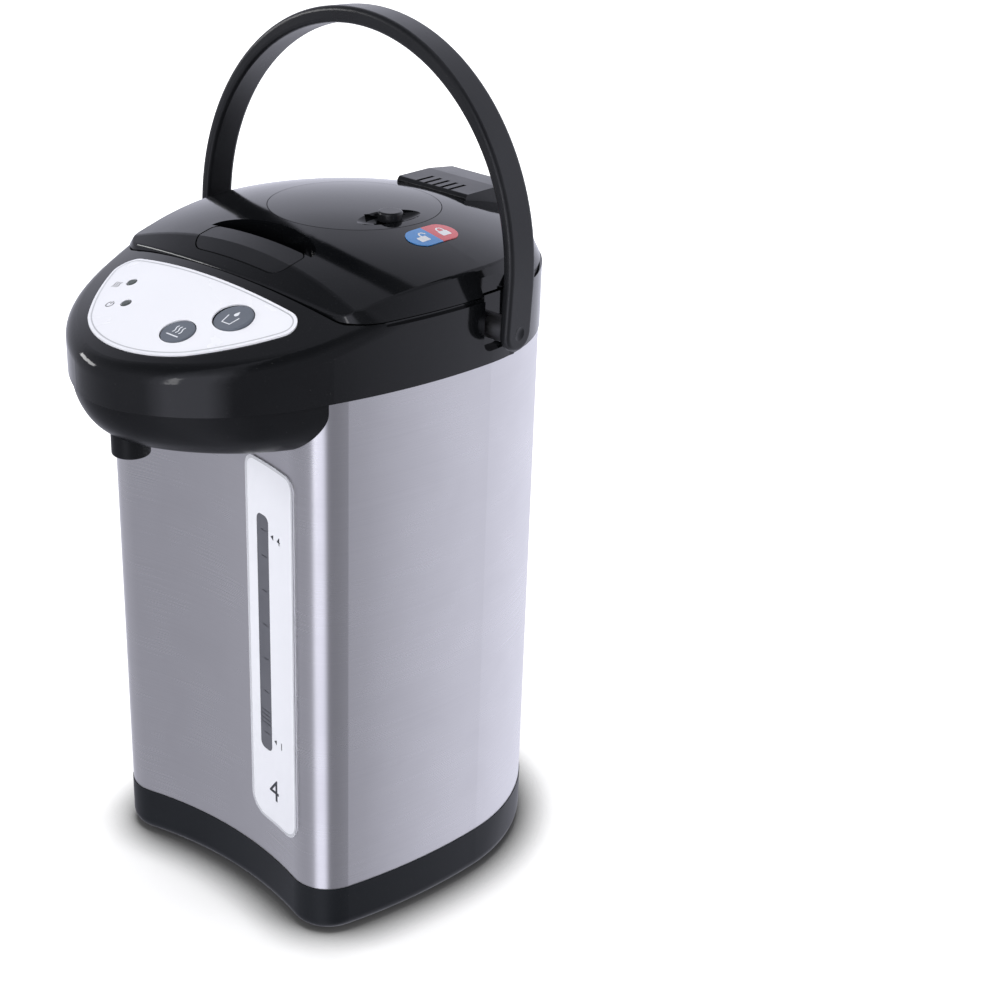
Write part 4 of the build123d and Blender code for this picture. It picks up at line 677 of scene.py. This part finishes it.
def panel_outline():
    """The control panel's outline in plan, evenly spaced and round at its tips."""
    tip, side, turn = (68.5, -92.5), (55.0, -119.0), (36.0, -142.0)
    top_y, bottom_y, tip_radius, step, passes = -94.8, -155.0, 8.5, 0.8, 14
    top_circle = circle_through((-tip[0], tip[1]), (0, top_y), tip)
    rounded = round_tip(top_circle, circle_through(tip, side, turn), tip_radius)
    start, _, end = rounded
    left_start, left_middle, left_end = [(-x, y) for x, y in rounded]
    points = three_point_arc(left_start, (0, top_y), start, 80)
    points += three_point_arc(*rounded, 12)
    points += three_point_arc(end, side, turn, 36)
    points += three_point_arc(turn, (0, bottom_y), (-turn[0], turn[1]), 48)
    points += three_point_arc((-turn[0], turn[1]), (-side[0], side[1]), left_end, 36)
    points += three_point_arc(left_end, left_middle, left_start, 12)
    points = long_sides_cut(points, step)
    for _ in range(passes):
        points = [tuple((Vector(points[index - 1]) + Vector(points[index]) * 2
                         + Vector(points[(index + 1) % len(points)])) / 4) for index in range(len(points))]
    return points


def inset_outline(points, distance):
    """A closed outline moved inwards."""
    inner = []
    count = len(points)
    for index in range(count):
        run = (Vector(points[(index + 1) % count]) - Vector(points[index - 1])).normalized()
        inner.append(tuple(Vector(points[index]) + Vector((run.y, -run.x)) * distance))
    return inner


def ink_material(name, base, roughness=0.3):
    """A printing ink or a thin clear edge."""
    return plastic(name, tuple(base), roughness=roughness, dust=0.0, bump=(0.05, 0.01))


def heat_waves(mesh, centre, height, pitch, width):
    """Three rising wavy lines."""
    for column in (-1, 0, 1):
        wave = []
        for step in range(17):
            rise = step / 16
            sway = math.sin(rise * 2 * math.pi) * pitch * 0.22
            wave.append((centre[0] + column * pitch + sway, centre[1] + (rise - 0.5) * height))
        draw_stroke(mesh, wave, width)


def water_drop(centre, radius):
    """Outline of a falling drop."""
    tip = (centre[0], centre[1] + radius * 2.0)
    return [tip] + arc_points(centre, radius, 150, 390, 24)


class POT_OT_panel_print(bpy.types.Operator):
    """Border line and plain pictograms on the control panel and the buttons"""
    bl_idname = "pot.panel_print"
    bl_label = "Panel print"

    lamp_marks = ((-46.0, -116.0), (-32.8, -131.0))
    dispense_spot = (35.0, -111.8)
    reboil_spot = (19.7, -132.7)

    def draw_border(self, mesh):
        ink = bpy.context.scene.pot_print
        outline = panel_outline()
        draw_stroke(mesh, inset_outline(outline, ink.border_inset / MM), ink.border_width / MM, closed=True)

    def draw_marks(self, mesh):
        heat, power = self.lamp_marks
        heat_waves(mesh, heat, 4.4, 1.7, 0.5)
        draw_stroke(mesh, arc_points(power, 2.0, 120, 420), 0.5)
        draw_stroke(mesh, [(power[0], power[1] + 0.2), (power[0], power[1] + 2.6)], 0.5)

    def draw_cup(self, mesh):
        cup = [(-3.6, 0.6), (-2.6, -5.0), (2.6, -5.0), (3.6, 0.6)]
        draw_stroke(mesh, cup, 0.7)
        draw_shape(mesh, water_drop((0, 2.2), 1.25))

    def draw_boil(self, mesh):
        heat_waves(mesh, (0, 1.0), 5.0, 2.2, 0.6)
        draw_stroke(mesh, [(-4.0, -3.6), (4.0, -3.6)], 0.7)

    def execute(self, context):
        _, inks, _ = settings()
        border = ink_material("panel border ink", inks.border_ink)
        dark = ink_material("panel ink", inks.ink)
        pale = ink_material("button ink", inks.pale_ink, roughness=0.4)
        make_print("panel_border", self.draw_border, on_panel, border, "pot")
        make_print("panel_marks", self.draw_marks, on_panel, dark, "pot")
        on_dispense, on_reboil = on_button(self.dispense_spot), on_button(self.reboil_spot)
        make_print("dispense_mark", self.draw_cup, on_dispense, pale, "dispense")
        make_print("reboil_mark", self.draw_boil, on_reboil, pale, "reboil")
        return {"FINISHED"}


class POT_OT_level_print(bpy.types.Operator):
    """Clear edge, plain numbers and level marks of the strip"""
    bl_idname = "pot.level_print"
    bl_label = "Level print"

    left, right, bottom, top = 20.8, 64.0, 51.5, 261.0
    lower_round, upper_round = 12.0, 7.0
    window_left, window_right = 29.9, 40.1
    mark_x, full_z, low_z = 46.5, 222.5, 104.0
    large_digit_place, large_digit_height = (41.5, 73.5), 13.0
    digit_height, digit_bold, digit_shift = 4.2, 0.01, 3.0
    arrow_gap, arrow_length, arrow_half = 2.2, 2.4, 1.5
    edge_margin, longest_run = 0.3, 4.0
    bar_depth, bar_height = 0.12, 0.55

    def draw_edge(self, mesh):
        width = bpy.context.scene.pot_print.strip_edge_width / MM
        centre = ((self.left + self.right) / 2, (self.bottom + self.top) / 2)
        narrowing = width + self.edge_margin
        outline = rounded_box(
            centre, self.right - self.left - narrowing, self.top - self.bottom - narrowing,
            self.lower_round - width / 2, self.upper_round - width / 2)
        draw_stroke(mesh, long_sides_cut(outline, self.longest_run), width, closed=True)

    def draw_numbers(self, mesh):
        digit_x = self.mark_x + self.digit_shift
        draw_text(mesh, "4", self.digit_height, (digit_x, self.full_z), self.digit_bold)
        draw_text(mesh, "1", self.digit_height, (digit_x, self.low_z), self.digit_bold)
        draw_text(mesh, "4", self.large_digit_height, self.large_digit_place, 0.0)
        tip = self.window_right + self.arrow_gap
        base, half = tip + self.arrow_length, self.arrow_half
        for height in (self.full_z, self.low_z):
            draw_shape(mesh, [(tip, height), (base, height - half), (base, height + half)])

    def execute(self, context):
        _, inks, _ = settings()
        clear = ink_material("strip edge plastic", inks.strip_edge, roughness=0.18)
        dark = ink_material("strip ink", inks.ink)
        make_print("strip_edge", self.draw_edge, on_strip, clear, "pot")
        make_print("strip_numbers", self.draw_numbers, on_strip, dark, "pot")
        self.add_lines(dark, inks)
        return {"FINISHED"}

    def add_lines(self, dark, inks):
        tree = bars_up_a_line()
        middle = (self.window_left + self.window_right) / 2
        lean = -math.asin(middle / front_radius)
        rows = (    # name, count, pitch, width, height of the first, shift to the right
            ("level_ticks", inks.tick_count, inks.tick_pitch, 4.6, 130.5, 1.0),
            ("full_tick", 1, inks.tick_pitch, 4.6, 223.3, 1.0),
            ("low_water_lines", inks.fine_count, inks.fine_pitch, 9.0, 111.2, 0.0),
            ("lowest_tick", 1, inks.tick_pitch, 4.6, 105.4, 1.0),
        )
        for name, count, pitch, width, first_z, shift in rows:
            first = on_strip(middle + shift, first_z, 0.0) * MM
            bar_size = (width * MM, self.bar_depth * MM, self.bar_height * MM)
            repeated_piece(name, tree, {
                "Count": count, "Pitch": pitch, "Bar size": bar_size, "First": first, "Turn": lean,
                "Material": dark}, "pot")


class POT_OT_lock_print(bpy.types.Operator):
    """Open and shut padlocks on the two halves of the label"""
    bl_idname = "pot.lock_print"
    bl_label = "Lock print"

    label_x, front_y, rear_y = 57.5, -9.0, 6.0
    body_middle, body_width, body_height, body_round = (0, -1.7), 6.2, 4.4, 0.7
    shackle_half, shackle_foot, shackle_shoulder, shackle_width = 1.9, 0.4, 1.7, 0.9
    open_shift = 2.6

    def draw_padlock(self, mesh, shift):
        """A padlock; one whose shackle is shifted is open and lacks the shackle's second leg."""
        draw_shape(mesh, rounded_box(self.body_middle, self.body_width, self.body_height, self.body_round))
        shackle = [(-self.shackle_half, self.shackle_foot)]
        shackle += arc_points((0, self.shackle_shoulder), self.shackle_half, 180, 0, 16)
        if not shift:
            shackle.append((self.shackle_half, self.shackle_foot))
        draw_stroke(mesh, [(x + shift, y) for x, y in shackle], self.shackle_width)

    def draw_open(self, mesh):
        self.draw_padlock(mesh, self.open_shift)

    def draw_shut(self, mesh):
        self.draw_padlock(mesh, 0.0)

    def execute(self, context):
        _, inks, _ = settings()
        pale = ink_material("label ink", inks.pale_ink)
        on_front, on_rear = on_label((self.label_x, self.front_y)), on_label((self.label_x, self.rear_y))
        make_print("open_padlock", self.draw_open, on_front, pale, "lid")
        make_print("shut_padlock", self.draw_shut, on_rear, pale, "lid")
        return {"FINISHED"}


class POT_OT_small_fittings(bpy.types.Operator):
    """Folded seam at the rear of the casing"""
    bl_idname = "pot.small_fittings"
    bl_label = "Small fittings"

    seam_low, seam_high, seam_half = 29.0, 303.0, 4.0
    seam_proud, seam_edge_round, seam_steps = 0.33, 0.6, 12
    casing_rear, least_gap, sunk_depth = 98.0, 0.02, 0.3

    def execute(self, context):
        """Makes a flat fold, rounded along its long edges, on the casing's round rear."""
        mesh = bmesh.new()
        columns = []
        for step in range(self.seam_steps + 1):
            offset = self.seam_half * (2 * step / self.seam_steps - 1)
            edge = min(1.0, (self.seam_half - abs(offset)) / self.seam_edge_round)
            swell = self.seam_proud * math.sqrt(max(0.0, edge * (2 - edge)))
            radius = self.casing_rear + self.least_gap + swell
            columns.append(self.upright_edge(mesh, offset, math.sqrt(radius ** 2 - offset ** 2)))
        sunk_rear = self.casing_rear - self.sunk_depth
        for side in (1, -1):
            columns.append(self.upright_edge(mesh, side * self.seam_half, sunk_rear))
        count = len(columns)
        for index in range(count):
            near, far = columns[index], columns[(index + 1) % count]
            mesh.faces.new((near[0], far[0], far[1], near[1]))
        mesh.faces.new([column[0] for column in columns])
        mesh.faces.new([column[1] for column in columns])
        bmesh.ops.recalc_face_normals(mesh, faces=mesh.faces[:])
        bmesh.ops.triangulate(mesh, faces=mesh.faces[:])
        steel = bpy.data.materials["brushed casing steel"]
        finished_piece("casing_seam", mesh, steel, "pot")
        return {"FINISHED"}

    def upright_edge(self, mesh, x, y):
        """The two ends of an upright edge of the seam."""
        return [mesh.verts.new(Vector((x, y, z)) * MM) for z in (self.seam_low, self.seam_high)]


# -------- operators: studio
studio_tones = (    # degrees round from the front towards the right, and the brightness there, which the world gives as light and the floor as a painted reflection
    (-180, 1.08), (-135, 1.08), (-80, 0.51), (-25, 0.45), (0, 0.50), (12, 1.35), (33, 1.30), (46, 0.28),
    (97, 0.34), (107, 0.56), (116, 0.70), (130, 0.86), (145, 1.00), (180, 1.10))
dim_rise, dim_tone = (0.38, 0.85), 0.35    # rise over which the tones dim, and the share left overhead
matt_light = 0.45                          # brightness of the surroundings for matt pieces
contact_reach, painted_shadow_tone = 0.03, 0.2    # metres the pot's painted contact shadow reaches, and its painted tone
shade_range = (0.5, 0.95)                  # open share of the surroundings, from darkest to unshaded
clear_range, clear_glow = (0.15, 1.2), 0.42    # metres from the pot to plain white, and the glow at first, dimmer near the pot as painted shade
lamp_aim = (0.0, 0.0, 0.22)
softboxes = (    # name, place, width, height, whether shiny pieces mirror it
    ("overhead", (-0.25, 0.35, 1.9), 1.5, 1.5, False),
    ("front", (0.45, -1.7, 0.35), 0.16, 1.0, True),
    ("fill", (0.3, -2.0, 0.5), 1.2, 1.2, False),
    ("side", (1.9, 0.75, 0.8), 0.9, 1.4, False),
    ("left", (-1.6, -0.9, 0.8), 0.8, 0.3, True))


def vector_node(tree, operation, vector, *others):
    """One step on a vector, with any other inputs given as (name, value)."""
    return add_node(tree, "ShaderNodeVectorMath", [(0, vector), *others], operation=operation)


def studio_glow_group():
    """What a shiny piece sees of the studio in a direction: tones round the horizon, dimmer overhead."""
    inputs = [("Direction", "Vector", (0.0, 0.0, 1.0))]
    tree, start, end = new_group("studio glow", inputs, [("Value", "Float")])
    way = vector_node(tree, "NORMALIZE", start.outputs["Direction"])
    parts = add_node(tree, "ShaderNodeSeparateXYZ", [("Vector", way.outputs[0])])
    forwards = math_node(tree, "MULTIPLY", parts.outputs["Y"], -1.0)
    turn = math_node(tree, "ARCTAN2", parts.outputs["X"], forwards)
    round_share = remap(tree, turn, -math.pi, math.pi, 0.0, 1.0)
    ramp = add_node(tree, "ShaderNodeValToRGB", [("Fac", round_share)])
    stops = ramp.color_ramp.elements
    for angle, _ in studio_tones[1:-1]:
        stops.new((angle + 180) / 360)
    for stop, (_, tone) in zip(stops, studio_tones):
        stop.color = (tone, tone, tone, 1.0)
    overhead = remap(tree, parts.outputs["Z"], *dim_rise, 1.0, dim_tone)
    glow = math_node(tree, "MULTIPLY", ramp.outputs["Color"], overhead)
    tree.links.new(glow, end.inputs["Value"])
    return tree


def studio_glow(tree, direction):
    """The glow of the studio in a direction, inside another tree."""
    node = tree.nodes.new("ShaderNodeGroup")
    node.node_tree = group_called("studio glow", studio_glow_group)
    tree.links.new(direction, node.inputs["Direction"])
    return node.outputs["Value"]


def world_surroundings():
    """White behind the pot, an even light on its matt pieces, and the studio's glow for the shiny ones."""
    world = bpy.data.worlds.new("studio surroundings")
    bpy.context.scene.world = world
    world.use_nodes = True
    tree = world.node_tree
    tree.nodes.clear()
    way = add_node(tree, "ShaderNodeTexCoord").outputs["Generated"]
    light_path = add_node(tree, "ShaderNodeLightPath").outputs
    sharp = math_node(tree, "MAXIMUM", light_path["Is Glossy Ray"], light_path["Is Transmission Ray"])
    lit = mix_value(tree, sharp, matt_light, studio_glow(tree, way))
    strength = mix_value(tree, light_path["Is Camera Ray"], lit, 1.0)
    shade = mix_colour(tree, sharp, (1.0, 1.0, 1.0), tuple(bpy.context.scene.pot_studio.glow_tint))
    background = add_node(tree, "ShaderNodeBackground", [("Color", shade), ("Strength", strength)])
    output = add_node(tree, "ShaderNodeOutputWorld")
    tree.links.new(background.outputs["Background"], output.inputs["Surface"])


def floor_material(base):
    """Pale matt floor: white where nothing shades it, with a painted contact shadow in its colour and glow
    close under the pot, and dim in reflections, where it shows a painted studio glow instead of its lit
    colour.
    """
    material = bpy.data.materials.new("pale floor")
    material.use_nodes = True
    tree = material.node_tree
    shader = tree.nodes["Principled BSDF"]
    shader.inputs["Roughness"].default_value = 0.85
    shader.inputs["Specular IOR Level"].default_value = 0.1
    place = add_node(tree, "ShaderNodeTexCoord").outputs["Object"]
    away = vector_node(tree, "LENGTH", place).outputs["Value"]
    around = add_node(tree, "ShaderNodeAmbientOcclusion", [("Distance", contact_reach)], samples=16)
    unshaded = remap(tree, around.outputs["AO"], *shade_range, 0.0, 1.0)
    light_path = add_node(tree, "ShaderNodeLightPath").outputs
    # Painted shadow: the white glow the camera sees is weaker close to the pot and where the pot closes
    # round the floor.
    lift = math_node(tree, "MULTIPLY", remap(tree, away, *clear_range, clear_glow, 1.0), unshaded)
    glow_with_painted_shadow = math_node(tree, "MULTIPLY", light_path["Is Camera Ray"], lift)
    # Painted shadow: the floor's colour darkens to the painted shadow tone where the pot closes round it.
    shade = mix_colour(tree, unshaded, tuple(value * painted_shadow_tone for value in base), base)
    tree.links.new(shade, shader.inputs["Base Color"])
    shader.inputs["Emission Color"].default_value = (1.0, 1.0, 1.0, 1.0)
    tree.links.new(glow_with_painted_shadow, shader.inputs["Emission Strength"])
    # Painted reflection: shiny pieces see the floor as a glow in the studio's tones, bright and dark bands
    # included, not as the lit floor.
    back = add_node(tree, "ShaderNodeNewGeometry").outputs["Incoming"]
    onwards = vector_node(tree, "SCALE", back, ("Scale", -1.0)).outputs[0]
    tint = (*bpy.context.scene.pot_studio.glow_tint, 1.0)
    glow = add_node(tree, "ShaderNodeEmission", [("Color", tint), ("Strength", studio_glow(tree, onwards))])
    shown = add_node(tree, "ShaderNodeMixShader", [
        (0, light_path["Is Glossy Ray"]), (1, shader.outputs["BSDF"]), (2, glow.outputs["Emission"])])
    tree.links.new(shown.outputs["Shader"], tree.nodes["Material Output"].inputs["Surface"])
    return material


def add_softbox(name, place, width, height, power, mirrored):
    """A rectangular lamp aimed at the pot, which shiny pieces mirror or not."""
    lamp = bpy.data.lights.new(name, "AREA")
    lamp.shape = "RECTANGLE"
    lamp.size = width
    lamp.size_y = height
    lamp.energy = power
    holder = bpy.data.objects.new(name, lamp)
    bpy.context.collection.objects.link(holder)
    holder.location = place
    holder.rotation_euler = (Vector(lamp_aim) - Vector(place)).to_track_quat("-Z", "Y").to_euler()
    holder.visible_glossy = mirrored


class POT_OT_studio(bpy.types.Operator):
    """Pale floor, white surroundings, softboxes and the camera"""
    bl_idname = "pot.studio"
    bl_label = "Studio"

    def execute(self, context):
        _, _, studio = settings()
        mesh = bmesh.new()
        bmesh.ops.create_grid(mesh, x_segments=4, y_segments=4, size=6.0)
        data = bpy.data.meshes.new("floor")
        mesh.to_mesh(data)
        mesh.free()
        data.materials.append(floor_material(tuple(studio.floor_colour)))
        floor = bpy.data.objects.new("floor", data)
        context.collection.objects.link(floor)
        world_surroundings()
        for name, place, width, height, mirrored in softboxes:
            add_softbox(name + " softbox", place, width, height, getattr(studio, name + "_power"), mirrored)
        lens = bpy.data.cameras.new("main camera")
        lens.sensor_width = 36.0
        lens.lens = studio.camera_lens
        lens.clip_end = 50.0
        camera = bpy.data.objects.new("main camera", lens)
        context.collection.objects.link(camera)
        camera.location = studio.camera_place
        camera.rotation_euler = studio.camera_turn
        context.scene.camera = camera
        context.scene.view_settings.view_transform = "Standard"
        return {"FINISHED"}


# -------- panel and registration
class POT_PT_sidebar(bpy.types.Panel):
    """Lists the pot's steps and settings"""
    bl_idname = "POT_PT_sidebar"
    bl_label = "Thermo pot"
    bl_space_type = "VIEW_3D"
    bl_region_type = "UI"
    bl_category = "Thermo pot"

    def draw(self, context):
        for operator in OPERATORS:
            self.layout.operator(operator.bl_idname)
        for group in settings():
            column = self.layout.column()
            for name in group.bl_rna.properties.keys():
                if name not in ("rna_type", "name"):
                    column.prop(group, name)


OPERATORS = (POT_OT_steel_finishes, POT_OT_plastic_finishes, POT_OT_inner_finishes, POT_OT_panel_print,
             POT_OT_level_print, POT_OT_lock_print, POT_OT_small_fittings, POT_OT_studio)
GROUPS = {"pot_finish": FinishSettings, "pot_print": PrintSettings, "pot_studio": StudioSettings}


def register():
    """Makes the settings, operators and panel known."""
    for name, group in GROUPS.items():
        bpy.utils.register_class(group)
        setattr(bpy.types.Scene, name, PointerProperty(type=group))
    for operator in OPERATORS:
        bpy.utils.register_class(operator)
    bpy.utils.register_class(POT_PT_sidebar)


def unregister():
    """Takes them away again."""
    bpy.utils.unregister_class(POT_PT_sidebar)
    for operator in reversed(OPERATORS):
        bpy.utils.unregister_class(operator)
    for name, group in GROUPS.items():
        delattr(bpy.types.Scene, name)
        bpy.utils.unregister_class(group)


def main():
    """Makes the whole part."""
    register()
    for operator in OPERATORS:
        _, step = operator.bl_idname.split(".")
        getattr(bpy.ops.pot, step)()


if __name__ == "__main__":
    main()
